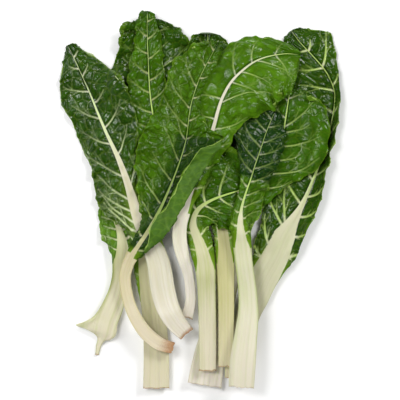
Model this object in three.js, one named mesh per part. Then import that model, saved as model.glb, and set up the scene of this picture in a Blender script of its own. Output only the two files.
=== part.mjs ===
// A bunch of white-stemmed chard lying on its side: eleven whole leaves, each grown as one piece from
// the cut end of its stalk, through the midrib, to the two halves of its blade.
// Units are millimetres. +Y runs from the cut ends to the leaf tips, +X is to the right as seen from
// above, and +Z is up from the surface that the bunch lies on.
import * as THREE from "three";

// Driving dimensions.
const BLADE_THICKNESS = 1.2;
const LEAF_GAP = 2; // clear height between one leaf and those that it lies on
const RIB_DEPTH_SHARE = 0.62; // depth of a stalk or midrib over its half width
const RIB_DEPTH_LEAST = 0.5;
const RIB_DEPTH_MOST = 8.5;
const CHANNEL_SHARE = 0.14; // depth of the channel along a stalk's upper face, over the stalk's depth
const BELLY_SHARE = 0.45; // middle part of a stalk's back that is flat
const SETTLE_HEIGHT = 0.45; // what lies lower than this is pressed flat onto the surface

// The lattice that a leaf is built on: stations along it, columns across it.
const STEPS_PER_ROW = 2; // stations from one row of the leaf's table to the next
const BLADE_COLUMNS = 4; // on each half of the blade, outside the midrib's edge
const ROLLED_COLUMNS = 7; // the same on a leaf that has a half rolled over
const STALK_CROWDING = 1.9; // how much closer the columns stand toward the edges of a bare stalk
const SLOPE_STEPS = 24; // steps in which the blade's slope turns from the rib to the margin

// Widths over which one form passes into another: where it starts, and where it is complete.
const BLADE_BEGINS = [0, 0.5]; // half blades; a share of the rib is added to the second
const BLADE_RIB_SHARE = 0.6;
const RUFFLE_BEGINS = [4, 24]; // half blades
const CHANNEL_BEGINS = [3, 9]; // half widths of ribs
const RUFFLE_POWER = 1.5; // how closely the ruffle keeps to the margin

// How a leaf settles on the ones below it.
const CELL = 1; // cells of the height map
const MAP_REACH = 240;
const MAP_CELLS = (2 * MAP_REACH) / CELL;
const SAMPLE_STEP = 0.8;
const SETTLE_ROUNDS = 6;
const RELAX_PASSES = 160;
const RIB_SAG = 0.5; // how far a free station of the rib drops below its neighbours' mean
const BLADE_SAG = 0.5;
const TIED_REACH = 2; // the strip of blade beside the rib that moves with it
const CLOSE_ENOUGH = 0.02;

// One half of a blade where it stands level, and a row that is all stalk.
const EVEN_CREASE = 0.5;
const BARE = [0, 0, 0];

// A row of a leaf's table: the middle of its rib, the rib's half width, its left and right halves of
// the blade and how far the rib is held above what it lies on. A half is its width, its slope beside
// the rib and at the margin in degrees above level, and the place of the crease between the two
// slopes, from 0 at the rib to 1 at the margin. A crease well past 1 leaves the half unfolded.
function blade(x, y, rib, left, right, hold = 0) {
  return { x, y, rib, hold, left: [...left, EVEN_CREASE], right: [...right, EVEN_CREASE] };
}

const stalk = (x, y, rib) => blade(x, y, rib, BARE, BARE);

// Each leaf, from the lowest in the pile to the highest, with its rows from the cut end to the tip.
// `ruffle` is the height of the waves along the margins, `waves` their number and `phase` where they
// start. `flesh` makes a stalk rounder than 1, and `turn` makes its creases sharper than 1.
const LEAVES = [
  {
    name: "right_leaf",
    colour: 0x3c6a1c,
    ruffle: 2,
    waves: 6,
    phase: 0.4,
    rows: [
      stalk(38, -186, 9),
      stalk(41, -150, 10),
      stalk(48.5, -115, 12),
      stalk(55, -100, 13),
      stalk(63, -80, 14.5),
      blade(73, -62, 15, [6, -4, -6], [1, 20, 30]),
      blade(79, -50, 16, [9, -4, -6], [3, 25, 35]),
      blade(85, -36, 11.5, [15, -6, -8], [9, 35, 45]),
      blade(101, -8, 5.5, [37, -6, -10], [16, 45, 55]),
      blade(113, 18, 3.5, [42, -6, -10], [16, 52, 60]),
      blade(125, 50, 2.2, [48, -4, -10], [14, 72, 78]),
      blade(132.5, 78, 2, [50, -2, -8], [14, 66, 72]),
      blade(136, 100, 1.8, [52, 0, -8], [12, 70, 76]),
      blade(134, 115, 1.6, [48, 2, -8], [8, 45, 55]),
      blade(125, 132, 1.4, [42, 4, -8], [14, 8, 10]),
      blade(111, 148, 1.2, [30, 4, -8], [27, 4, -10]),
      blade(99, 161, 1, [15, 4, -12], [16, 4, -12]),
      blade(92, 171, 0.8, [5, 0, -6], [5, 0, -6]),
    ],
  },
  {
    name: "right_inner_leaf",
    colour: 0x4a7c1e,
    ruffle: 2,
    waves: 5,
    phase: 2.1,
    rows: [
      stalk(4.5, -186, 17),
      stalk(10, -155, 15.5),
      stalk(20, -115, 12),
      stalk(30, -80, 9.5),
      blade(40, -40, 7, [1, 0, 0], [1, 0, 0]),
      blade(54, -5, 5.5, [8, -5, -10], [4, -5, -10]),
      blade(69, 26, 4.4, [16, -8, -12], [20, -2, -10]),
      blade(79, 50, 3, [20, -8, -12], [42, 2, -10]),
      blade(85, 76, 2.2, [20, -8, -12], [43, 4, -10]),
      blade(88, 95, 1.5, [16, -8, -12], [37, 4, -10]),
      blade(90, 107, 1, [10, -6, -10], [27, 2, -8]),
      blade(91, 112, 0.8, [4, -4, -8], [12, 0, -8]),
    ],
  },
  {
    name: "back_left_leaf",
    colour: 0x2c4f1c,
    ruffle: 3.5,
    waves: 7,
    phase: 1.2,
    rows: [
      stalk(-44, -189, 13),
      stalk(-44, -150, 12.5),
      stalk(-47, -110, 11.5),
      blade(-53, -70, 10, [3, -4, -6], [2, -4, -6]),
      blade(-54, -30, 8, [6, -4, -6], [5, -4, -6]),
      blade(-53, 10, 6, [15, -6, -10], [12, -6, -10]),
      blade(-51, 50, 4.5, [34, -6, -10], [25, -6, -10]),
      blade(-49, 90, 3, [44, -6, -12], [34, -6, -12]),
      blade(-48, 125, 2, [43, -8, -14], [37, -4, -12]),
      blade(-47, 155, 1.4, [31, -8, -18], [36, 2, -10]),
      blade(-46, 172, 1, [26, -8, -20], [25, 4, -8]),
      blade(-45, 183, 0.8, [22, -8, -14], [12, 2, -6]),
    ],
  },
  {
    name: "back_left_inner_leaf",
    colour: 0x57901f,
    ruffle: 2,
    waves: 6,
    phase: 0,
    rows: [
      stalk(28, -178, 3),
      stalk(29, -145, 4),
      stalk(26, -110, 5),
      stalk(18, -70, 5.5),
      blade(4, -35, 5.5, [1, 0, 0], [1, 0, 0]),
      blade(-14, 0, 5.5, [4, -6, -8], [4, -6, -8]),
      blade(-32, 35, 5, [12, -8, -10], [12, -8, -10]),
      blade(-44, 70, 3.5, [22, -10, -14], [20, -10, -14]),
      blade(-50, 105, 2.4, [22, -12, -24], [18, -12, -24]),
      blade(-52, 140, 1.6, [17, -14, -40], [15, -14, -40], 2),
      blade(-53, 165, 1.2, [12, -14, -40], [14, -14, -40], 5),
      blade(-53, 182, 0.9, [8, -12, -30], [8, -12, -30], 6),
      blade(-52, 190, 0.8, [4, -10, -16], [4, -10, -16], 6),
    ],
  },
  {
    name: "back_middle_leaf",
    colour: 0x2f5a18,
    ruffle: 2.5,
    waves: 6,
    phase: 1.9,
    rows: [
      stalk(25, -166, 6.5),
      stalk(26, -130, 7.5),
      stalk(26, -90, 8),
      blade(24.5, -50, 8.5, [1, 0, 0], [1, 0, 0]),
      blade(20, -10, 7, [5, -5, -8], [5, -5, -8]),
      blade(17, 30, 5.5, [18, -6, -10], [16, -6, -10]),
      blade(14, 70, 4, [30, -8, -12], [28, -8, -12]),
      blade(11, 105, 3, [33, -8, -14], [30, -8, -14]),
      blade(9, 135, 1.8, [28, -8, -16], [27, -8, -16]),
      blade(8, 155, 1.2, [20, -8, -18], [20, -8, -18]),
      blade(8, 169, 0.8, [9, -6, -10], [9, -6, -10]),
    ],
  },
  {
    name: "curled_leaf",
    colour: 0x4d8a1c,
    ruffle: 3,
    waves: 7,
    phase: 2.6,
    rows: [
      stalk(7.5, -171, 8.5),
      stalk(7.5, -130, 8.7),
      stalk(6.5, -90, 8.8),
      blade(4.5, -62, 9.5, [1, 0, 0], [1, 0, 0]),
      blade(-1, -42, 8, [2.5, -4, -6], [4, 0, 10]),
      blade(-7, -25, 6, [4, -6, -8], [10, 5, 15]),
      blade(-3, -11, 4.6, [12, -8, -10], [19, 8, 20], 1),
      blade(8, -2, 3.4, [30, -8, -12], [28, 6, 22], 2),
      blade(22, 4, 2.4, [44, -6, -14], [33, 4, 20], 2),
      blade(38, 9, 1.5, [42, -4, -14], [30, 0, 10], 1),
      blade(52, 13, 0.8, [22, -4, -12], [16, 0, 0]),
    ],
  },
  {
    name: "bent_leaf",
    colour: 0x3f7a1e,
    ruffle: 1.8,
    waves: 7,
    phase: 0.9,
    rows: [
      stalk(41, -186, 12.5),
      stalk(42.5, -160, 12.8),
      stalk(45, -138, 11.5),
      stalk(48, -112, 10),
      stalk(47, -88, 9),
      stalk(44, -65, 8.6),
      blade(41.5, -42, 8.5, [0.5, 0, 0], [1, 0, 0]),
      blade(40, -25, 6.5, [2.5, 10, 20], [6, 10, 20]),
      blade(41, -10, 4, [4, 10, 10], [17, 5, -5], 1),
      blade(45, 5, 2.8, [4, 10, 0], [17, 0, -20], 4),
      blade(51, 22, 2, [9, -5, -20], [18, -8, -30], 10),
      blade(56, 38, 1.6, [19, -15, -35], [21, -12, -30], 15),
      blade(61, 52, 1.4, [28, -15, -35], [22, -15, -30], 9),
      blade(68, 72, 1.2, [36, -8, -20], [17, -8, -20], 1),
      blade(76, 90, 0.8, [26, -4, -8], [8, -4, -8]),
    ],
  },
  {
    name: "low_left_leaf",
    colour: 0x417521,
    ruffle: 2,
    waves: 7,
    phase: 0.3,
    rows: [
      stalk(-104, -156, 1.4),
      stalk(-102, -146, 2.4),
      blade(-99.5, -140, 3.5, [1, 0, 0], [1, 0, 0]),
      blade(-97, -134, 9, [20, -2, -4], [3, 0, 0]),
      blade(-94, -122, 10.5, [4, 0, 0], [1, 0, 0]),
      stalk(-89, -110, 11),
      stalk(-83.5, -95, 9.5),
      stalk(-80, -78, 8.5),
      blade(-79, -60, 8.5, [1, 0, 0], [1, 0, 0]),
      blade(-78, -46, 7.5, [6, 0, -6], [4, 0, 0]),
      blade(-82, -28, 4.5, [14, -4, -10], [10, 0, -8]),
      blade(-90, -9, 2.8, [9, -4, -10], [14, 0, -8]),
      blade(-95, 12, 2, [5, -4, -10], [18, 0, -8]),
      blade(-100, 36, 1.4, [4, -4, -10], [18, 0, -8]),
      blade(-103, 58, 0.8, [2, -4, -8], [4, 0, -8]),
    ],
  },
  {
    name: "arched_leaf",
    colour: 0x528f1c,
    ruffle: 2.5,
    waves: 8,
    phase: 1.6,
    flesh: 1.25,
    rows: [
      stalk(-14, -118, 6.5),
      stalk(-9.5, -102, 5),
      stalk(-11.5, -75, 5),
      stalk(-19, -48, 6.8),
      stalk(-20, -25, 7),
      blade(-12, 0, 6, [1, 0, 0], [1, 0, 0]),
      blade(-2, 28, 5, [3, -10, -20], [4, 0, -10], 1),
      blade(8, 55, 4.6, [11, -20, -25], [12, 0, -14], 3),
      blade(15, 78, 4, [25, -28, -32], [20, 0, -14], 6),
      blade(21, 99, 3.6, [31, -32, -34], [37, 2, -16], 8),
      blade(31, 118, 3.2, [32, -32, -36], [47, 3, -18], 9),
      blade(45, 132, 2.6, [31, -30, -36], [51, 3, -20], 9),
      blade(58, 140.5, 2, [28, -26, -34], [49, 3, -22], 8),
      blade(72, 145, 1.4, [19, -22, -30], [45, 2, -24], 7),
      blade(86, 147, 1, [12, -20, -26], [40, 0, -26], 5),
      blade(96, 146.5, 0.8, [6, -18, -22], [35, -2, -24], 3),
      blade(101, 146, 0.6, [3, -16, -20], [27, -4, -20], 2),
    ],
  },
  {
    name: "front_left_leaf",
    colour: 0x35681e,
    ruffle: 2.5,
    waves: 8,
    phase: 0.7,
    rows: [
      stalk(-13, -134, 8),
      stalk(-24, -122, 10),
      stalk(-33, -105, 11.5),
      stalk(-38, -85, 12),
      stalk(-41, -65, 11.5),
      blade(-48, -46, 10, [1, 0, 0], [1, 0, 0]),
      blade(-59, -26, 8.4, [6, -4, -8], [4, 0, -8]),
      blade(-66, -5, 6.8, [26, -8, -14], [8, 0, -10]),
      blade(-73, 18, 5.2, [30, -8, -14], [10, 0, -12]),
      blade(-82, 42, 3.8, [26, -8, -14], [15, 0, -14]),
      blade(-93, 65, 2.6, [27, -6, -14], [31, 4, -16]),
      blade(-103, 88, 2, [27, -4, -16], [34, 6, -18]),
      blade(-112, 110, 1.4, [30, -4, -20], [31, 6, -18]),
      blade(-122, 132, 1, [20, -4, -18], [21, 2, -16]),
      blade(-131, 151, 0.7, [5, -4, -8], [8, 0, -8]),
      blade(-134, 156, 0.6, [2, -2, -4], [4, 0, -4]),
    ],
  },
  {
    name: "folded_leaf",
    colour: 0x5a9a22,
    ruffle: 3,
    waves: 9,
    phase: 2.2,
    flesh: 1.5,
    turn: 2.5,
    bladeColumns: ROLLED_COLUMNS,
    rows: [
      stalk(-27, -148, 5.4),
      stalk(-40, -144, 6.4),
      stalk(-54, -133, 6.6),
      stalk(-66, -115, 6),
      stalk(-73, -95, 5.6),
      stalk(-75, -75, 5.6),
      stalk(-69, -58, 6),
      blade(-59, -42, 6.2, [2, 0, 0], [12, 10, 150, 0.5]),
      blade(-48, -25, 5.6, [6, 0, -6], [33, 12, 180, 0.42]),
      blade(-37, -3, 5, [22, 0, -12], [37, 14, 186, 0.51]),
      blade(-27, 20, 4, [36, 2, -16], [42, 16, 190, 0.55]),
      blade(-19, 42, 3.2, [43, 4, -18], [50, 16, 190, 0.6]),
      blade(-14, 60, 2.6, [42, 4, -18], [55, 14, 190, 0.72]),
      blade(-12, 74, 2.2, [38, 4, -18], [20, 8, 190, 1.3]),
      blade(-9, 95, 2, [29, 2, -18], [6, -4, 100, 1.6]),
      blade(-1, 120, 1.5, [29, 0, -18], [5, -4, -14, 1.6]),
      blade(10, 142, 1, [22, 0, -16], [6, -4, -16, 1.6]),
      blade(18, 157, 0.7, [6, 0, -8], [4, -4, -8, 1.6]),
    ],
  },
];

const radians = THREE.MathUtils.degToRad;
const { smoothstep, lerp } = THREE.MathUtils;
const leastZero = (value) => Math.max(0, value);

// Smooth curve through one triple of values a row, read at the same parameter as the leaf's route.
function curveThrough(rows, pick) {
  const points = rows.map((row) => new THREE.Vector3(...pick(row)));
  return new THREE.CatmullRomCurve3(points, false, "catmullrom");
}

// Depth of a rib below the blade's own level at its middle.
function ribDepth(halfWidth, flesh) {
  return Math.min(RIB_DEPTH_MOST, RIB_DEPTH_LEAST + RIB_DEPTH_SHARE * flesh * halfWidth);
}

// Share of the rib's full depth at a place across it, 0 in the middle and 1 at its edge.
function backShape(place) {
  if (place >= 1) return 0;
  const shoulder = leastZero(place - BELLY_SHARE) / (1 - BELLY_SHARE);
  return Math.sqrt(1 - shoulder * shoulder);
}

// Distances of one side's columns from the middle of the rib, from the rib's edge to the margin.
// On a bare stalk they share out its half width, and on the blade they stand outside the rib.
function columnDistances(rib, width, count) {
  const [bare, full] = BLADE_BEGINS;
  const onBlade = smoothstep(width, bare, full + BLADE_RIB_SHARE * rib);
  return Array.from({ length: count + 1 }, (_, k) => {
    const share = 1 - (1 - BELLY_SHARE) * (1 - k / count) ** STALK_CROWDING;
    return rib * lerp(share, 1, onBlade) + (width * k) / count;
  });
}

// Across and up offsets at a distance from the rib's middle. The rib is level, and the blade's slope
// goes from its first value to its last round the crease.
function sheetOffset(distance, rib, side, turn) {
  const flat = Math.min(distance, rib);
  const offset = { across: flat, up: 0 };
  const beyond = distance - flat;
  if (beyond <= 0) return offset;
  for (let p = 0; p < SLOPE_STEPS; p++) {
    const place = ((p + 0.5) / SLOPE_STEPS) * (beyond / side.width);
    const turned = smoothstep(place, side.crease - 0.5 / turn, side.crease + 0.5 / turn);
    const slope = radians(lerp(side.slopes[0], side.slopes[1], turned));
    offset.across += (beyond / SLOPE_STEPS) * Math.cos(slope);
    offset.up += (beyond / SLOPE_STEPS) * Math.sin(slope);
  }
  return offset;
}

// A reader of one half of a leaf's blade at any place along it. `sign` is 1 on the left.
function halfReader(rows, key, sign) {
  const shape = curveThrough(rows, (row) => [row[key][0], row[key][3], 0]);
  const slopes = curveThrough(rows, (row) => [row[key][1], row[key][2], 0]);
  return (t) => {
    const [width, crease] = shape.getPoint(t).toArray();
    return { sign, width: leastZero(width), crease, slopes: slopes.getPoint(t).toArray() };
  };
}

// A leaf's lattice as it would lie alone: for each station and column, its place, how far the upper
// and lower faces stand off it, and whether it moves with the rib.
function latticeOf(leaf) {
  const { rows, flesh = 1, turn = 1, bladeColumns = BLADE_COLUMNS } = leaf;
  const route = curveThrough(rows, ({ x, y }) => [x, y, 0]);
  const ribs = curveThrough(rows, ({ rib, hold }) => [rib, hold, 0]);
  const halves = [halfReader(rows, "left", 1), halfReader(rows, "right", -1)];
  const last = (rows.length - 1) * STEPS_PER_ROW;
  return Array.from({ length: last + 1 }, (_, i) => {
    const t = i / last;
    const centre = route.getPoint(t);
    const along = route.getTangent(t);
    const across = new THREE.Vector3(-along.y, along.x, 0).normalize();
    const [rib, hold] = ribs.getPoint(t).toArray().map(leastZero);
    const depth = ribDepth(rib, flesh);
    const place = (side, distance, edge) => {
      const { across: out, up } = sheetOffset(distance, rib, side, turn);
      const wave = Math.sin(2 * Math.PI * leaf.waves * t + leaf.phase + side.sign);
      const swell = smoothstep(side.width, ...RUFFLE_BEGINS);
      const share = backShape(distance / rib);
      const channel = depth * CHANNEL_SHARE * share * smoothstep(rib, ...CHANNEL_BEGINS);
      return {
        at: centre
          .clone()
          .addScaledVector(across, side.sign * out)
          .setZ(depth + hold + up + leaf.ruffle * wave * swell * edge ** RUFFLE_POWER),
        above: BLADE_THICKNESS / 2 - channel,
        below: BLADE_THICKNESS / 2 + depth * share,
        tied: distance <= rib + TIED_REACH,
      };
    };
    const [left, right] = halves.map((read) => {
      const side = read(t);
      const distances = columnDistances(rib, side.width, bladeColumns);
      return distances.map((distance, k) => place(side, distance, k / bladeColumns));
    });
    return [...left.reverse(), place(halves[0](t), 0, 0), ...right];
  });
}

// How the points of a station's ring follow its columns: the upper face from left to right, and then
// the lower face back. The two margins are shared by both faces.
function ringLayout(columns) {
  const length = 2 * columns - 2;
  const columnOf = (index) => (index < columns ? index : length - index);
  const isMargin = (index) => index === 0 || index === columns - 1;
  return { length, columnOf, isMargin, isUpper: (index) => index < columns };
}

// Direction that the sheet faces at a lattice point.
function facing(points, i, c) {
  const before = points[Math.max(i - 1, 0)][c];
  const after = points[Math.min(i + 1, points.length - 1)][c];
  const left = points[i][Math.max(c - 1, 0)];
  const right = points[i][Math.min(c + 1, points[i].length - 1)];
  const along = after.clone().sub(before);
  return right.clone().sub(left).cross(along).normalize();
}

// The closed skin of a lattice after each of its points is raised by `lift`: one ring a station, and
// a fan on each end.
function skinOf(lattice, lift) {
  const layout = ringLayout(lattice[0].length);
  const points = lattice.map((station, i) => {
    return station.map(({ at }, c) => at.clone().setZ(at.z + lift[i][c]));
  });
  const rings = lattice.map((station, i) => {
    return Array.from({ length: layout.length }, (_, index) => {
      const c = layout.columnOf(index);
      const point = points[i][c].clone();
      if (layout.isMargin(index)) return point;
      const stand = layout.isUpper(index) ? station[c].above : -station[c].below;
      return point.addScaledVector(facing(points, i, c), stand);
    });
  });
  const middleOf = (ring) => {
    return ring.reduce((sum, point) => sum.add(point), new THREE.Vector3()).divideScalar(ring.length);
  };
  const ends = [rings[0], rings[rings.length - 1]].map(middleOf);
  const positions = [...rings.flat(), ...ends].flatMap((point) => point.toArray());
  return {
    layout,
    positions: new Float32Array(positions),
    faces: facesOf(rings.length, layout.length),
    ringPoints: rings.length * layout.length,
  };
}

function facesOf(ringCount, length) {
  const faces = [];
  const lastRing = length * (ringCount - 1);
  const [butt, tip] = [length * ringCount, length * ringCount + 1];
  for (let index = 0; index < length; index++) {
    const next = (index + 1) % length;
    for (let here = 0; here < lastRing; here += length) {
      const there = here + length;
      faces.push([here + index, here + next, there + next]);
      faces.push([here + index, there + next, there + index]);
    }
    faces.push([butt, next, index]);
    faces.push([tip, lastRing + index, lastRing + next]);
  }
  return faces;
}

// Calls back with points spread over every face of a skin.
function eachSample(skin, visit) {
  const corner = (index) => new THREE.Vector3().fromArray(skin.positions, 3 * index);
  for (const face of skin.faces) {
    const [a, b, c] = face.map(corner);
    const longest = Math.max(a.distanceTo(b), b.distanceTo(c), c.distanceTo(a));
    const steps = Math.max(1, Math.ceil(longest / SAMPLE_STEP));
    for (let p = 0; p <= steps; p++) {
      for (let q = 0; q <= steps - p; q++) {
        const [u, v] = [p / steps, q / steps];
        const mix = (m) => a[m] + (b[m] - a[m]) * u + (c[m] - a[m]) * v;
        visit(mix("x"), mix("y"), mix("z"), face);
      }
    }
  }
}

// Heights of the pile, on a square grid of cells. An empty cell is LEAF_GAP below the surface, so that
// a leaf lies right on the surface and clear of the leaves.
class Pile {
  constructor() {
    this.heights = new Float32Array(MAP_CELLS * MAP_CELLS).fill(-LEAF_GAP);
  }

  cell(value) {
    return Math.floor((value + MAP_REACH) / CELL);
  }

  add(skin) {
    eachSample(skin, (x, y, z) => {
      const index = this.cell(y) * MAP_CELLS + this.cell(x);
      this.heights[index] = Math.max(this.heights[index], z);
    });
  }

  // Highest point in the cell of a place and the eight round it.
  heightAt(x, y) {
    const [column, row] = [this.cell(x), this.cell(y)];
    let highest = -LEAF_GAP;
    for (let r = row - 1; r <= row + 1; r++) {
      for (let c = column - 1; c <= column + 1; c++) {
        highest = Math.max(highest, this.heights[r * MAP_CELLS + c]);
      }
    }
    return highest;
  }
}

// Raises `needed` at the lattice points of every face that is too close to the pile, and says whether
// there was any.
function addShortfalls(skin, pile, lift, needed) {
  const { length, columnOf } = skin.layout;
  let found = false;
  eachSample(skin, (x, y, z, face) => {
    const short = pile.heightAt(x, y) + LEAF_GAP - z;
    if (short <= CLOSE_ENOUGH) return;
    found = true;
    for (const vertex of face.filter((index) => index < skin.ringPoints)) {
      const i = Math.floor(vertex / length);
      const c = columnOf(vertex % length);
      needed[i][c] = Math.max(needed[i][c], lift[i][c] + short);
    }
  });
  return found;
}

// Lets a leaf sag between the places where it has to be raised: the rib as a springy beam, and the
// blade as a cloth that hangs from it.
function relax(lattice, needed) {
  const last = lattice.length - 1;
  const ribNeeds = lattice.map((station, i) => {
    return Math.max(...needed[i].filter((_, c) => station[c].tied));
  });
  let rib = [...ribNeeds];
  for (let pass = 0; pass < RELAX_PASSES; pass++) {
    rib = rib.map((_, i) => {
      const mean = (rib[Math.max(i - 1, 0)] + rib[Math.min(i + 1, last)]) / 2;
      return Math.max(ribNeeds[i], mean - RIB_SAG);
    });
  }
  let lift = lattice.map((station, i) => {
    return station.map((point, c) => (point.tied ? rib[i] : needed[i][c]));
  });
  for (let pass = 0; pass < RELAX_PASSES; pass++) {
    lift = lift.map((row, i) => {
      return row.map((value, c) => {
        if (lattice[i][c].tied) return value;
        const near = [row[Math.max(c - 1, 0)], row[Math.min(c + 1, row.length - 1)]];
        near.push(lift[Math.max(i - 1, 0)][c], lift[Math.min(i + 1, last)][c]);
        const mean = near.reduce((sum, height) => sum + height) / near.length;
        return Math.max(needed[i][c], mean - BLADE_SAG);
      });
    });
  }
  return lift;
}

// A leaf's skin after it has come to lie on the pile.
function settle(leaf, pile) {
  const lattice = latticeOf(leaf);
  const needed = lattice.map((station) => station.map(() => 0));
  let lift = needed.map((row) => [...row]);
  let skin = skinOf(lattice, lift);
  for (let round = 0; round < SETTLE_ROUNDS; round++) {
    if (!addShortfalls(skin, pile, lift, needed)) break;
    lift = relax(lattice, needed);
    skin = skinOf(lattice, lift);
  }
  for (let z = 2; z < skin.positions.length; z += 3) {
    if (skin.positions[z] < SETTLE_HEIGHT) skin.positions[z] = 0;
  }
  return skin;
}

function meshOf(leaf, skin) {
  const geometry = new THREE.BufferGeometry();
  geometry.setAttribute("position", new THREE.BufferAttribute(skin.positions, 3));
  geometry.setIndex(skin.faces.flat());
  geometry.computeVertexNormals();
  const finish = { color: leaf.colour, roughness: 0.45, metalness: 0 };
  const mesh = new THREE.Mesh(geometry, new THREE.MeshStandardMaterial(finish));
  mesh.name = leaf.name;
  return mesh;
}

const bunch = new THREE.Group();
const pile = new Pile();
for (const leaf of LEAVES) {
  const skin = settle(leaf, pile);
  pile.add(skin);
  bunch.add(meshOf(leaf, skin));
}

// The origin is on the surface, below the middle of the bunch's box.
const middle = new THREE.Box3().setFromObject(bunch).getCenter(new THREE.Vector3());
bunch.position.set(-middle.x, -middle.y, 0);

export default bunch;
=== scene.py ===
"""A bunch of white-stemmed chard lying on its side.

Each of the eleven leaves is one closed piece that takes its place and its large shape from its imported
solid. Here it gets what makes it a leaf: a thin blade, blisters between forked veins, a ruffled margin,
a ribbed stalk and a browned cut end. Lengths are millimetres until a piece is made, and metres there.
"""

from __future__ import annotations

import logging
from dataclasses import dataclass, field, replace
from enum import Enum
from math import radians
from typing import Union

import bmesh
import bpy
import numpy as np
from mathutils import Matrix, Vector


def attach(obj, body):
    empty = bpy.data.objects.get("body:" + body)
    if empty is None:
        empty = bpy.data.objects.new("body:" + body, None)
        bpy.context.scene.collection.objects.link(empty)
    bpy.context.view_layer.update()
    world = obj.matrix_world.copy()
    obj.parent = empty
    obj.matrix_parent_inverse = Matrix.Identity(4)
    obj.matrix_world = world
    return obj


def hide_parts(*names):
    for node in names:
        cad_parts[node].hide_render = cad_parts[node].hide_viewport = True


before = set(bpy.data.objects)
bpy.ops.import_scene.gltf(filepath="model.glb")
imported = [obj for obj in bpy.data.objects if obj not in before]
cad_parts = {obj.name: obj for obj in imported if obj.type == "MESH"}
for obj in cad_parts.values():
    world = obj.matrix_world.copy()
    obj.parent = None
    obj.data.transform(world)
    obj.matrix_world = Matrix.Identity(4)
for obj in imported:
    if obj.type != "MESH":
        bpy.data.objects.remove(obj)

LOG = logging.getLogger("chard")

MM = 0.001
BODY = "root"
BAKE_MAP = "OFBake"

# Names of the attributes that carry a leaf's tissue to its finish. Each holds three numbers a vertex.
TISSUE = "tissue"  # rib, vein and small vein, each from 0 to 1
PLACE = "place"  # metres along the leaf, metres across it, and 1 on the underside
FORM = "form"  # blister height, nearness to the margin, and painted shade on the blade
TINT = "tint"  # paleness of the rib, youth of the blade, and nearness to the rib's edge

# The same attributes at the middle of a cut end, paler than its browned rim.
CUT_HEART = {TISSUE: (1.0, 0.0, 0.0), PLACE: (0.02, 0.0, 0.0), FORM: (0.0, 0.0, 0.0), TINT: (1.0, 0.0, 0.0)}


class Slot(Enum):
    """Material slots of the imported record."""

    DARK = "dark_leaf"
    MID = "mid_leaf"
    BRIGHT = "bright_leaf"


class Side(Enum):
    """The two halves of a blade, seen from above with the tip away from the viewer."""

    LEFT = -1
    RIGHT = 1


# ---------------------------------------------------------------------------------------------------
# Numbers in two directions
# ---------------------------------------------------------------------------------------------------


def smoothstep(low: float, high: float, value: np.ndarray) -> np.ndarray:
    """Rises smoothly from 0 where value is low to 1 where it is high, or falls where low is the greater."""
    share = np.clip((value - low) / (high - low), 0.0, 1.0)
    return share * share * (3.0 - 2.0 * share)


def refined(points: np.ndarray, at: np.ndarray) -> np.ndarray:
    """Reads a smooth curve through points at fractional places along the first axis.

    Args:
        points: Places, shape (count, any, 3).
        at: Fractional indices on the first axis.

    Returns:
        Places on the curves, shape (len(at), any, 3).
    """
    step = np.diff(points, axis=0)
    chord = np.linalg.norm(step, axis=-1, keepdims=True) + 1e-6
    slope = step / chord
    tangent = np.empty_like(points)
    tangent[1:-1] = (slope[:-1] * chord[1:] + slope[1:] * chord[:-1]) / (chord[1:] + chord[:-1])
    tangent[0] = 1.5 * slope[0] - 0.5 * tangent[1]
    tangent[-1] = 1.5 * slope[-1] - 0.5 * tangent[-2]
    start = np.clip(at.astype(int), 0, len(points) - 2)
    f = (at - start)[:, None, None]
    reach = chord[start]
    return (
        (2 * f**3 - 3 * f**2 + 1) * points[start]
        + (f**3 - 2 * f**2 + f) * reach * tangent[start]
        + (3 * f**2 - 2 * f**3) * points[start + 1]
        + (f**3 - f**2) * reach * tangent[start + 1]
    )


def spread(lengths: np.ndarray, pitches: np.ndarray) -> np.ndarray:
    """Splits each interval into equal steps no longer than its pitch.

    Args:
        lengths: Length of each interval.
        pitches: Longest step allowed in each.

    Returns:
        Fractional indices of all the steps, from 0 to the number of intervals.
    """
    counts = np.maximum(1, np.ceil(lengths / pitches).astype(int))
    inner = [i + np.arange(count) / count for i, count in enumerate(counts)]
    return np.append(np.concatenate(inner), float(len(lengths)))


def swelling(share: np.ndarray) -> np.ndarray:
    """Rises from 0 to 1 as the share does, steeply at first and level at the end."""
    return 1 - (1 - np.clip(share, 0, 1)) ** 2


def at_least(least: float, share: np.ndarray) -> np.ndarray:
    """Goes from the least value to 1 as the share goes from 0 to 1."""
    return least + (1 - least) * share


def bell(value: np.ndarray, width: float) -> np.ndarray:
    """Falls from 1 at nought on either side, to about a third at the width."""
    return np.exp(-((value / width) ** 2))


def unit(vectors: np.ndarray, least: float = 1e-9) -> np.ndarray:
    """Brings vectors to length 1, and leaves those near nought short."""
    return vectors / (np.linalg.norm(vectors, axis=-1, keepdims=True) + least)


def facing(sheet: np.ndarray) -> np.ndarray:
    """Unit normals of a grid of places, up where the rows run to the tip and the columns to the right."""
    return unit(np.cross(np.gradient(sheet, axis=1), np.gradient(sheet, axis=0)), 1e-12)


def blurred(values: np.ndarray, passes: int) -> np.ndarray:
    """Averages each value with its four neighbours.

    Args:
        values: A grid of numbers.
        passes: How many times over.

    Returns:
        The smoother grid.
    """
    for _ in range(passes):
        padded = np.pad(values, 1, mode="edge")
        beside = padded[1:-1, :-2] + padded[1:-1, 2:]
        values = (padded[1:-1, 1:-1] * 2 + padded[:-2, 1:-1] + padded[2:, 1:-1] + beside) / 6
    return values


def eased(need: np.ndarray, passes: int, keep: float, where: Union[np.ndarray, float] = 1.0) -> np.ndarray:
    """Lets a lift run out smoothly round the points that need it.

    Args:
        need: Least lift of each point.
        passes: How many points away it runs out.
        keep: Share of it that is kept from one point to the next.
        where: Share of it that each point takes on.

    Returns:
        The lift of each point.
    """
    lift = need
    for _ in range(passes):
        lift = np.maximum(need, keep * blurred(lift, 1) * where)
    return lift


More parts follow.
